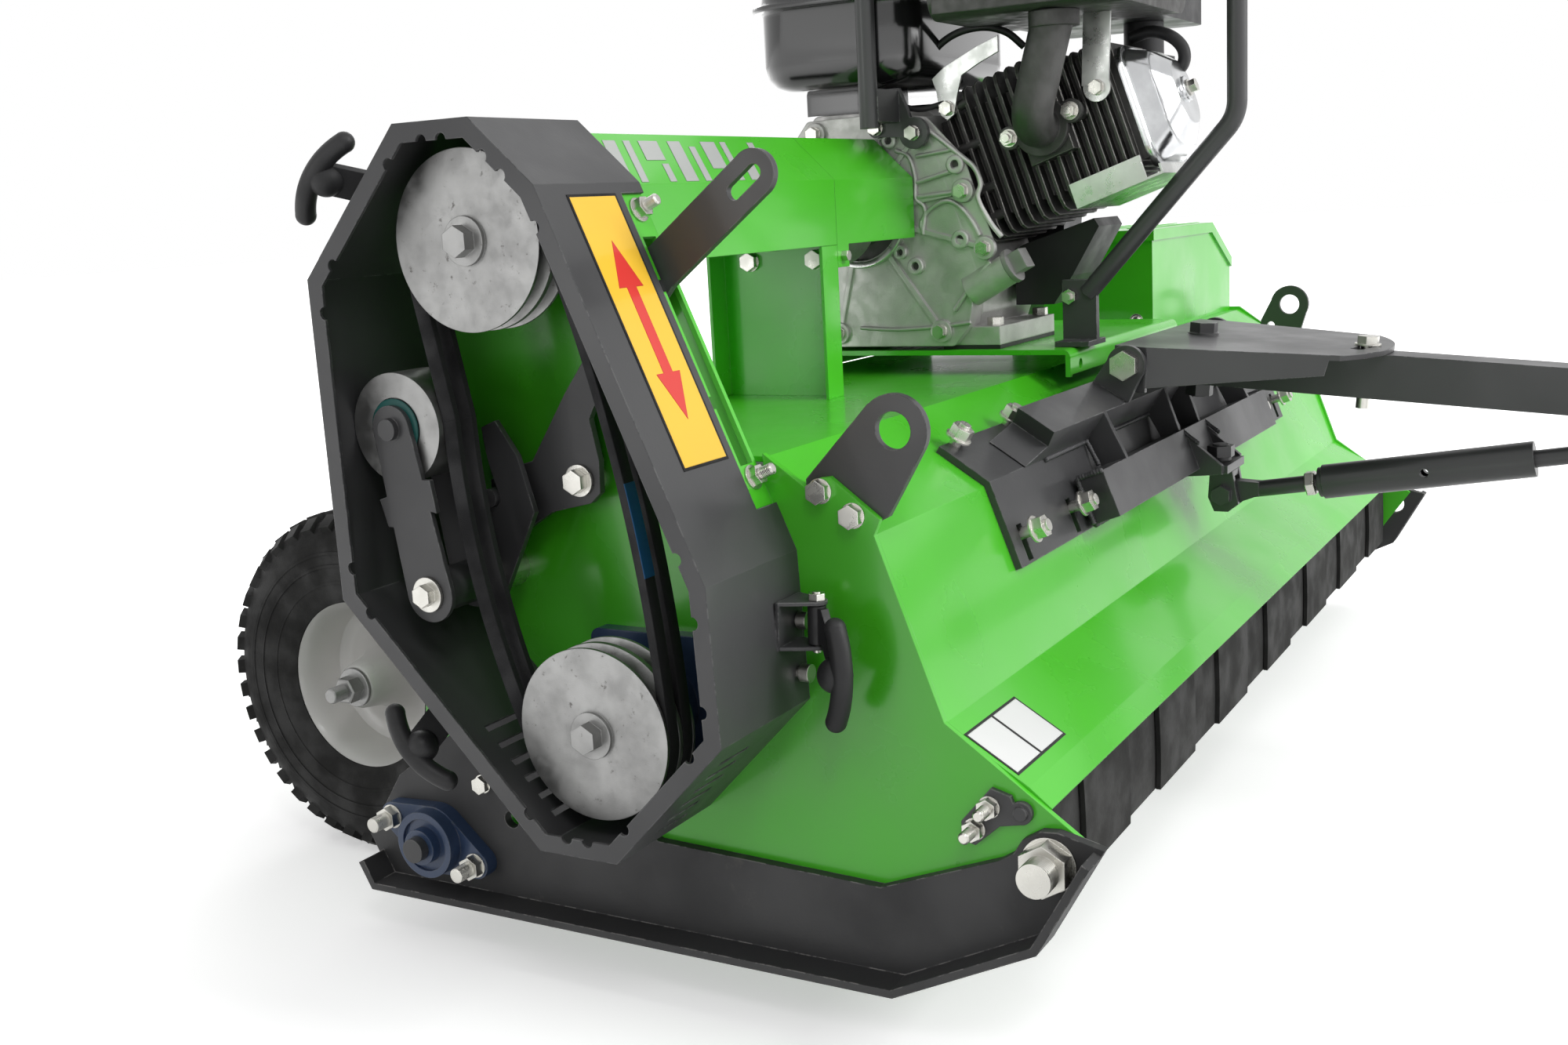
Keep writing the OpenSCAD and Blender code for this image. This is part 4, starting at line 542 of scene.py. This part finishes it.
def box_at(bm, c, size, m=None):
    """Box of a size in mm round a point in metres, turned by m."""
    r = bmesh.ops.create_cube(bm, size=1.0)
    s = Matrix.Diagonal((size[0] / 1000, size[1] / 1000, size[2] / 1000, 1))
    t = Matrix.Translation(c) @ (m.to_4x4() if m else Matrix.Identity(4)) @ s
    bmesh.ops.transform(bm, matrix=t, verts=r["verts"])


def thread(bm, p, axis, length, r, pitch):
    """Threaded end of a stud from p along the axis, with a chamfered tip, in mm."""
    depth = 0.3
    n = max(2, int(length / pitch))
    prof = [(0, r - depth)]
    for i in range(n):
        prof += [((i + 0.5) * pitch, r + depth), ((i + 1) * pitch, r - depth)]
    prof += [(n * pitch + 0.8, r - 1.0), (n * pitch + 0.85, 0.0)]
    lathe(bm, p, axis, prof, 20, caps=True)


def bead(bm, a, b, r):
    """Weld bead of overlapping scales from a to b, in mm."""
    scale_length = 2.6
    p, q = at(*a), at(*b)
    n = 3 * max(3, int((q - p).length * 1000 / scale_length))
    rad = []
    for i in range(n + 1):
        end = 0.7 if i in (0, n) else 1
        rad.append(r * (0.86, 1.06, 0.98)[i % 3] * end * (1 + 0.07 * math.sin(i * 12.9898)))
    tube(bm, [p.lerp(q, i / n) for i in range(n + 1)], rad, 9)


# Label with a double arrow on the sloping wall of the case
wall = slope(*CASE_TOP, -111.0, -256.9)
bm = bmesh.new()
flat(bm, wall, rect(-748, -205, -692.5, -8), 0.35, 0.1)
piece("arrow_label_edge", bm, "belt", "chassis", smooth=False)
bm = bmesh.new()
flat(bm, wall, rect(-746, -203, -694.5, -10), 0.35, 0.2)
piece("arrow_label", bm, "yellow", "chassis", smooth=False)
bm = bmesh.new()
ARROW_X = -720
ARROW = [(0, -172), (14, -138), (5.5, -138), (5.5, -76), (14, -76), (0, -42)]
ARROW += [(-14, -76), (-5.5, -76), (-5.5, -138), (-14, -138)]
flat(bm, wall, [(ARROW_X + x, y) for x, y in ARROW], 0.3, 0.45)
piece("label_arrow", bm, "red", "chassis", smooth=False)

# Plain grey stripes on the tunnel: start, width, upper and lower end
STRIPES = (
    (-612, 16, 8, 54),
    (-586, 9, 8, 54),
    (-566, 26, 8, 30),
    (-548, 9, 34, 54),
    (-526, 18, 8, 54),
    (-498, 9, 14, 54),
    (-478, 22, 8, 40),
    (-448, 9, 8, 54),
    (-428, 16, 22, 54),
    (-404, 10, 8, 54),
)

# How far a stripe leans to the side per mm of its height
LEAN = 0.55
tunnel_face = slope(55, 642, -40, -39)
bm = bmesh.new()
for x, w, a0, a1 in STRIPES:
    x0, x1 = x - a0 * LEAN, x - a1 * LEAN
    flat(bm, tunnel_face, [(x1, -a1), (x1 + w, -a1), (x0 + w, -a0), (x0, -a0)], 0.25, 0.1)
piece("tunnel_stripes", bm, "silver", "chassis", smooth=False)

# Plain sticker of two fields on the lower front slope
front_slope = slope(-226, 230, -60, -37)
bm = bmesh.new()
flat(bm, front_slope, rect(-648, -60, -556, -14), 0.3, 0.1)
piece("sticker_edge", bm, "matte", "chassis", smooth=False)
bm = bmesh.new()
flat(bm, front_slope, rect(-646, -58, -603.5, -16), 0.3, 0.2)
flat(bm, front_slope, rect(-600.5, -58, -558, -16), 0.3, 0.2)
piece("sticker", bm, "white", "chassis", smooth=False)

# Threads of the studs that stand on the near side plate and on the case's sloping wall
bm = bmesh.new()
for y, z in ((-261, 179), (-250, 162)):
    thread(bm, at(SIDE_X - 12, y, z), -X, 12.5, 4, 1.25)
thread(bm, at(SIDE_X - 23, -304, 146), -X, 15.5, 12, 2.0)
tilt = math.radians(19.4)
for s in (-45, 45):
    y, z = ROLLER[0] + s * math.cos(tilt), ROLLER[1] + s * math.sin(tilt)
    thread(bm, at(SIDE_X - 30, y, z), -X, 14.5, 6, 1.5)
WALL_STUD = 5.2
fall = math.radians(-113.368)
along = Vector((0, math.cos(fall), math.sin(fall)))
outward = Vector((0, math.sin(fall), -math.cos(fall)))
for s in (20, 222):
    foot = at(SIDE_X - 12, *CASE_TOP) + (along * s + outward * WALL_STUD) / 1000
    thread(bm, foot, outward, 10.5, 4, 1.25)
piece("stud_threads", bm, "zinc", "chassis")

# Belts as smooth V sections: radii in mm of the pitch line on the pulleys and the roller, and of
# the slack and the taut run, which bow a little
BELT_R, IDLER_R = 57.8, 44.8
SLACK_R, TAUT_R = 620.0, 1100.0
BELTS_X = (SIDE_X - 81.25, SIDE_X - 63.75)

# Steps of the path on the upper pulley, the taut run, the lower pulley, the slack run, the roller
# and the straight run back up, and the numbers of its points where the stretches meet
UPPER_N, TAUT_N, LOWER_N, SLACK_N, IDLER_N, LAST_N = 70, 40, 70, 30, 14, 16
SLACK_START = UPPER_N + TAUT_N + LOWER_N + 3
IDLER_START = SLACK_START + SLACK_N + 1
IDLER_MIDDLE = IDLER_START + IDLER_N // 2
IDLER_END = IDLER_START + IDLER_N
PATH_END = IDLER_END + LAST_N

# Outline of a belt as (height over the pitch line, distance from its middle)
V_SECTION = [(4.5, -5.9), (4.9, -5.2), (4.9, 5.2), (4.5, 5.9)]
V_SECTION += [(-3.6, 3.1), (-4.4, 2.4), (-4.4, -2.4), (-3.6, -3.1)]


def meet(a, ra, b, rb, s):
    """Point at ra from a and at rb from b, on the side of s."""
    dx, dy = b[0] - a[0], b[1] - a[1]
    dd = math.hypot(dx, dy)
    ux, uy = dx / dd, dy / dd
    x = (ra * ra - rb * rb + dd * dd) / (2 * dd)
    h = s * math.sqrt(ra * ra - x * x)
    return a[0] + ux * x - uy * h, a[1] + uy * x + ux * h


def angle(a, b):
    """Direction from a to b."""
    return math.atan2(b[1] - a[1], b[0] - a[0])


def positive(a):
    """The same direction as an angle from 0 to a full turn."""
    return a + 2 * math.pi if a < 0 else a


def arc(c, r, a0, a1, n):
    """Points of an arc round c from a0 to a1 in n steps."""
    turns = (a0 + (a1 - a0) * i / n for i in range(n + 1))
    return [(c[0] + r * math.cos(t), c[1] + r * math.sin(t)) for t in turns]


SLACK_C = meet(ROTOR, SLACK_R - BELT_R, IDLER, SLACK_R + IDLER_R, 1)
TAUT_C = meet(ROTOR, TAUT_R - BELT_R, CRANK, TAUT_R - BELT_R, -1)
UPPER_START = angle(CRANK, IDLER) + math.acos((BELT_R + IDLER_R) / math.dist(IDLER, CRANK))


def belt_path(k):
    """Closed path of (y, z) points that runs k mm outside the pitch line."""
    taut0, taut1 = positive(angle(TAUT_C, CRANK)), positive(angle(TAUT_C, ROTOR))
    slack0, slack1 = angle(SLACK_C, ROTOR), angle(SLACK_C, IDLER)
    q = arc(CRANK, BELT_R + k, UPPER_START, taut0, UPPER_N)
    q += arc(TAUT_C, TAUT_R + k, taut0, taut1, TAUT_N)
    q += arc(ROTOR, BELT_R + k, taut1, slack0 + 2 * math.pi, LOWER_N)
    q += arc(SLACK_C, SLACK_R + k, slack0, slack1, SLACK_N)
    q += arc(IDLER, IDLER_R - k, slack1 + math.pi, UPPER_START + math.pi, IDLER_N)
    (y0, z0), (y1, z1) = q[-1], q[0]
    return q + [(y0 + (y1 - y0) * i / LAST_N, z0 + (z1 - z0) * i / LAST_N) for i in range(1, LAST_N)]


def belt(bm, x, section, run):
    """Stretch of a belt at x mm over the points of the path that run names."""
    sides = [(w, belt_path(k)) for k, w in section]
    closed_skin(bm, [[bm.verts.new(at(x + w, *path[i])) for w, path in sides] for i in run])


# The taut run stays on the deck; the slack run goes round the roller between the pulleys and rides on
# no body
FIXED_RUN = range(0, SLACK_START + 1)
LOW_RUN = range(SLACK_START, IDLER_MIDDLE + 1)
TOP_RUN = [*range(IDLER_MIDDLE, PATH_END), 0]
middle = [at(sum(BELTS_X) / 2, *q) for q in belt_path(0)]
for name, run, ends in (
    ("v_belts", FIXED_RUN, None),
    ("v_belts_low", LOW_RUN, ("chassis", "tensioner", SLACK_START, IDLER_START)),
    ("v_belts_top", TOP_RUN, ("tensioner", "chassis", IDLER_END, 0)),
):
    bm = bmesh.new()
    for x in BELTS_X:
        belt(bm, x, V_SECTION, run)
    o = piece(name, bm, "belt", None if ends else "chassis")
    if ends:
        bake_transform(o)
    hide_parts("belts")

# Blue band on the back of the outer belt, on these points of its taut run
BAND_RUN = range(92, 100)
bm = bmesh.new()
belt(bm, BELTS_X[0], [(5.05, -5.95), (5.05, 5.95), (4.4, 6.0), (4.4, -6.0)], BAND_RUN)
piece("belt_band", bm, "bluebelt", "chassis", smooth=False)

# Keyways in the ends of the shafts, as thin dark patches that are painted shade of the slots
for body, node, axis in (("drive", "drive_shaft", CRANK), ("rotor", "rotor", ROTOR)):
    end = at(0, *axis)
    end.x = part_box(node)[0].x
    bm = bmesh.new()
    for a in (0.5, 3.64):
        key = end + Vector((-0.0001, math.cos(a) * 0.0125, math.sin(a) * 0.0125))
        box_at(bm, key, (0.5, 4, 6), Matrix.Rotation(a, 3, "X"))
    piece(body + "_keyway_shade", bm, "soot_and_shade", body, smooth=False)

# Wheels: tyre with ribs on its walls and a tread of blocks, and the valve
WHEELS = ((-1, "wheel_near"), (1, "wheel_far"))
TYRE = [(-54, 79.6), (-57.5, 85), (-60.4, 97), (-62, 112), (-62.6, 124), (-61.5, 136), (-57, 147)]
TYRE += [(-49, 155.5), (-36, 158.6), (-18, 160), (0, 160.4)]
TYRE += [(-h, r) for h, r in TYRE[-2::-1]] + [(46, 78), (-46, 78), TYRE[0]]

# Rows of the tread: distance from the middle, length, shift in pitches and radius; the blocks
# stand askew by the twist, and those on the shoulders by the lean, in radians
TREAD = ((-33, 17, 0, 160.6), (-11.5, 15, 0.5, 161), (11.5, 15, 0, 161), (33, 17, 0.5, 160.6))
BLOCKS = 40
BLOCK_TWIST, SHOULDER_LEAN = 0.35, 0.62


def tread_block(bm, x, turn, r, size, twist):
    """Block of the tread at x and radius r in mm, so many pitches round the wheel."""
    t = 2 * math.pi * turn / BLOCKS
    y, z = WHEEL[0] + math.cos(t) * r, WHEEL[1] + math.sin(t) * r
    box_at(bm, at(x, y, z), size, Matrix.Rotation(t - math.pi / 2, 3, "X") @ twist)


for side, body in WHEELS:
    wheel_x = side * WHEEL_X
    bm = bmesh.new()
    lathe(bm, at(wheel_x, *WHEEL), X, TYRE, 96)
    for r, half in ((100, 60.2), (116, 62.2), (128, 62.3)):
        for s in (-1, 1):
            rib = [(-0.9, r - 1.4), (0.6 * s, r - 0.2), (-0.9, r + 1.2)]
            lathe(bm, at(wheel_x + s * half, *WHEEL), X, rib, 96)
    for i in range(BLOCKS):
        for x, length, shift, r in TREAD:
            twist = Matrix.Rotation(BLOCK_TWIST if x < 0 else -BLOCK_TWIST, 3, "Z")
            tread_block(bm, wheel_x + x, i + shift, r, (17, length, 8), twist)
        for s in (-1, 1):
            twist = Matrix.Rotation(s * SHOULDER_LEAN, 3, "Y")
            tread_block(bm, wheel_x + s * 51.5, i + 0.25, 153.2, (17, 13, 9), twist)
    o = piece("tread_" + body, bm, "tyre", body)
    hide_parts("tyre_near" if side < 0 else "tyre_far")
    bm = bmesh.new()
    foot = at(wheel_x + side * 8, WHEEL[0] - 8, WHEEL[1] + 64)
    stem = [(0, 5), (20, 4.2), (21, 3.6), (33, 3.6), (34, 2)]
    lathe(bm, foot, Vector((side, 0, -0.35)), stem, 16, caps=True)
    piece("valve_" + body, bm, "matte", body)

# Weld beads of the drawbar frame: in pairs at both sides of the hitch, then along its length
bm = bmesh.new()
for s in (-1, 1):
    for x, a, b, r in (
        (284.5, (-213, 299.5), (-198, 339), 2.6),
        (284.5, (-198, 339), (-221, 347.5), 2.6),
        (225.5, (-198, 341), (-186, 364), 2.2),
        (38.5, (-219, 346), (-236, 333), 2.2),
    ):
        bead(bm, (HITCH_X + s * x, *a), (HITCH_X + s * x, *b), r)
for half, y, z in ((324, -184.5, 361.5), (283, -213.5, 299)):
    bead(bm, (HITCH_X - half, y, z), (HITCH_X + half, y, z), 2.4)
piece("welds", bm, "weld", "chassis")

# Casting lines of the crankcase cover, each with its radius
COVER_RIBS = (
    (2.6, (16, 653), (-1, 647), (-33, 622), (-48, 609), (-54, 594), (-51, 580), (-63, 557), (-74, 543)),
    (2.2, (34, 630), (20, 623), (14, 603), (14, 583), (5, 573), (8, 548)),
    (2.6, (12, 584), (-29, 587)),
    (2.6, (12, 598), (-36, 610)),
    (2.0, (12, 623), (-25, 627)),
    (2.4, (-62, 520), (-48, 506), (-34, 488), (-23, 474)),
    (2.4, (7, 548), (9, 560), (-1, 572), (-18, 579), (-32, 573), (-45, 558), (-52, 545)),
    (2.0, (-40, 462), (-2, 458), (40, 456), (80, 458)),
)
bm = bmesh.new()
for r, *pts in COVER_RIBS:
    tube(bm, spline([(COVER_X, *p) for p in pts], 6), r, 8)
piece("cover_ribs", bm, "alloy", "chassis")

# Bosses of the cover with their bores, dark discs at the bottom of the bores as painted shade, and the
# ring round the shaft's opening
BOSSES = ((-29, 613, 9), (-32, 542, 9), (16, 518, 8.5), (32, 532, 7), (40, 640, 8))
bm = bmesh.new()
for y, z, r in BOSSES:
    lathe(bm, at(-147, y, z), -X, [(-1, r), (5, r), (6, r - 1), (6, r * 0.48), (1.5, r * 0.45)], 28)
piece("cover_bosses", bm, "alloy", "chassis")
# Dark discs at the bottom of the bores are painted shade of their depth; then a dark stepped ring
# inside the opening round the shaft
bm = bmesh.new()
for y, z, r in BOSSES:
    lathe(bm, at(-148.4, y, z), -X, [(0, r * 0.5), (0.4, TIP)], 20)
lathe(bm, at(-148, *CRANK), -X, [(0, 44.5), (0.6, 44.4), (0.8, 31), (3.5, 30), (3.6, 16.5)], 56)
piece("cover_bore_shade", bm, "soot_and_shade", "chassis")
bm = bmesh.new()
ring = [(0, 52.5), (7.5, 52.3), (8.2, 51.5), (8.2, 47.5), (7.5, 46.4), (3, 46)]
lathe(bm, at(-149, *CRANK), -X, ring, 72)
piece("cover_ring", bm, "sheet", "chassis")

# Breather and fuel lines on the engine, short and held at both ends
BREATHER = [(-30, -165, 724), (-30, -185, 728), (-30, -204, 722), (-30, -216, 709), (-30, -215, 694)]
BREATHER += [(-28, -198, 684)]
FUEL_LINE = [(-104, 22, 700), (-106, 8, 724), (-104, -14, 738), (-98, -40, 742), (-88, -60, 736)]
FUEL_LINE += [(-78, -74, 722)]
VENT_LINE = [(-130, 60, 690), (-136, 40, 676), (-134, 14, 668), (-128, -10, 672)]
bm = bmesh.new()
tube(bm, spline(BREATHER, 8), 6.0, 14)
piece("breather_tube", bm, "hoseblack", "chassis")
bm = bmesh.new()
tube(bm, spline(FUEL_LINE, 8), 3.6, 12)
tube(bm, spline(VENT_LINE, 8), 2.8, 10)
piece("engine_lines", bm, "hoseblack", "chassis")


# Tank with rounded corners and a seam on two feet, and its filler cap with grips
def loft(bm, x0, x1, y0, y1, rows):
    """Rounded box from rows of (height, inset, corner radius) in mm."""
    steps = 8
    loops = []
    for z, t, r in rows:
        inset = t + r
        xa, xb, ya, yb = x0 + inset, x1 - inset, y0 + inset, y1 - inset
        loop = []
        for cx, cy, a in ((xb, yb, 0), (xa, yb, 90), (xa, ya, 180), (xb, ya, 270)):
            for k in range(steps + 1):
                b = math.radians(a + 90 * k / steps)
                loop.append(bm.verts.new(at(cx + r * math.cos(b), cy + r * math.sin(b), z)))
        loops.append(loop)
    closed_skin(bm, loops)


TANK = [(691.8, 26, 24), (693.5, 18, 30), (698, 9, 37), (706, 3, 42), (718, 0, 44), (767, 0, 44)]
TANK += [(769, -1.5, 44), (769.6, -7, 46), (771, -8, 46), (774, -8, 46), (775.4, -7, 46), (776, -1, 44)]
TANK += [(800, 1, 44), (822, 5, 44), (834, 11, 46), (840, 20, 46), (842, 34, 40)]
CAP_X, CAP_Y, CAP_R = -50, 82, 33.4
GRIPS = 20
bm = bmesh.new()
loft(bm, -186, 88, 3, 172, TANK)
for x in (-108, -18):
    box_at(bm, at(x, 115, 681.3), (24, 60, 22))
o = piece("tank_body", bm, "gloss", "chassis")
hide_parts("fuel_tank")
bm = bmesh.new()
cap = [(0, 30), (2, 34), (14, CAP_R), (17, 31), (18.6, 24), (18.9, TIP)]
lathe(bm, at(CAP_X, CAP_Y, 840), Z, cap, 40)
for k in range(GRIPS):
    t = 2 * math.pi * k / GRIPS
    grip = at(CAP_X + CAP_R * math.cos(t), CAP_Y + CAP_R * math.sin(t), 848.5)
    box_at(bm, grip, (1.6, 4, 10), Matrix.Rotation(t, 3, "Z"))
piece("tank_cap", bm, "matte", "chassis")

# Wheel rims with a dropped disc, as (distance outwards from the wheel's middle, radius)
RIM = [(58, 10), (58, 19), (56, 21), (46, 23), (30, 26), (18, 31), (8, 40), (4, 52), (5, 62), (10, 68)]
RIM += [(24, 70), (38, 71), (46, 74), (51, 77.5), (53, 79.3), (51, 79.8), (47, 79), (42, 74)]
RIM += [(-42, 74), (-47, 79), (-51, 79.8), (-53, 79.3), (-51, 77.5), (-46, 74), (-38, 71), (-24, 70)]
RIM += [(-4, 68), (1, 62), (0, 52), (2, 40), (8, 31), (10, 24), (-34, 22), (-34, 10), (58, 10)]
for side, body in WHEELS:
    bm = bmesh.new()
    lathe(bm, at(side * WHEEL_X, *WHEEL), X * side, RIM, 96)
    o = piece("rim_" + body, bm, "rim", body)
    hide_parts("rim_near" if side < 0 else "rim_far")

# Wheel arms with their axles, cut off this far outside the middle of the wheels
HUB_CUT = 50
bm = bmesh.new()
bm.from_mesh(nodes["wheel_arms"].data)
bm.transform(nodes["wheel_arms"].matrix_world)
for side in (-1, 1):
    cut = at(side * (WHEEL_X + HUB_CUT), *WHEEL)
    geom = bm.verts[:] + bm.edges[:] + bm.faces[:]
    bmesh.ops.bisect_plane(bm, geom=geom, plane_co=cut, plane_no=X * side, clear_outer=True)
o = piece("arms_body", bm, "dark", "chassis")
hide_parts("wheel_arms")

# Washer, nut and stud end on each hub
WASHER = [(58.3, 8), (58.3, 18), (59, 18.6), (61.2, 18.6), (61.8, 18), (61.8, 8)]
NUT = [(61.8, 6), (61.8, 12.4), (62.6, 12.8), (73.6, 12.8), (75, 11.2), (75.2, 6)]
bm = bmesh.new()
for side in (-1, 1):
    hub = at(side * WHEEL_X, *WHEEL)
    lathe(bm, hub, X * side, WASHER, 40)
    lathe(bm, hub, X * side, NUT, 6)
    thread(bm, hub + X * side * NUT[-1][0] / 1000, X * side, 17, 7.0, 1.75)
piece("wheel_nuts", bm, "steel", "chassis", smooth=False)

# Lock nut on the shaft of the turnbuckle's eye
rise = math.radians(8.4)
shaft = Vector((0, -math.cos(rise), math.sin(rise)))
bm = bmesh.new()
nut = [(0, 8.1), (0, 11.4), (1, 12.6), (8.5, 12.6), (9.5, 11.4), (9.5, 8.1)]
lathe(bm, at(HITCH_X, -252.0, 279.0) + shaft * 0.079, shaft, nut, 6)
piece("lock_nut", bm, "zinc", "turnbuckle_eye", smooth=False)

# Screws of the battery box and ribs of its lid
bm = bmesh.new()
for y in (-64, 70):
    screw = [(0, 8), (1.2, 8), (1.6, 6), (4.4, 5.4), (5.6, 3.6), (5.8, TIP)]
    lathe(bm, at(297, y, 426), -X, screw, 24)
piece("battery_screws", bm, "zinc", "chassis")
bm = bmesh.new()
for y in (-60, -30, 0, 30, 60):
    box_at(bm, at(480, y, 533.3), (210, 3, 1.0))
piece("lid_ribs", bm, "green", "chassis")

# Front flaps as rubber leaves, every second one in front of its neighbours and over their edges
LEAVES = 14
FLAP_INSET = 15
LEAF_STEPS = 7
LEAF_T, LEAF_H, LEAF_EDGE = 4, 79, 1.2
KNUCKLE_INSET = 8
leaf = (-2 * SIDE_X - 2 * FLAP_INSET) / LEAVES
bm = bmesh.new()
for i in range(LEAVES):
    x0 = SIDE_X + FLAP_INSET + i * leaf
    xa, xb, y0 = (x0 - 6, x0 + leaf + 6, -6.6) if i % 2 else (x0 + 1, x0 + leaf - 1, -2.1)
    rings = []
    for j in range(LEAF_STEPS + 1):
        share = j / LEAF_STEPS
        bow = 1.6 * math.sin(share * 2.4) * (1 + 0.15 * math.sin(i * 2.1))
        y = FLAP_ROD[0] + y0 - bow
        z = FLAP_ROD[1] - 3 - LEAF_H * share
        xs = (xa, xa + LEAF_EDGE, xb - LEAF_EDGE, xb)
        front = [bm.verts.new(at(x, y, z)) for x in xs]
        rings.append(front + [bm.verts.new(at(x, y + LEAF_T, z)) for x in xs[::-1]])
    skin(bm, rings)
    for ring in (rings[0], rings[-1]):
        for q in range(3):
            bm.faces.new((ring[q], ring[q + 1], ring[6 - q], ring[7 - q]))
    w = xb - xa - 2 * KNUCKLE_INSET
    knuckle = [(0, 5.1), (0, 8.0), (0.6, 8.4), (w - 1, 8.4), (w, 8.0), (w, 5.1)]
    lathe(bm, at(xa + KNUCKLE_INSET, *FLAP_ROD), X, knuckle, 28)
o = piece("flap_leaves", bm, "flap", "flaps")
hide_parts("flaps")

# Seal of the tensioner roller's bearing
bm = bmesh.new()
seal = [(-0.5, 21.5), (0.5, 21.4), (0.8, 20), (0.8, 12.5), (-0.5, 12)]
lathe(bm, at(SIDE_X - 93, *IDLER), -X, seal, 48)
piece("roller_seal", bm, "teal", "tensioner_roller")
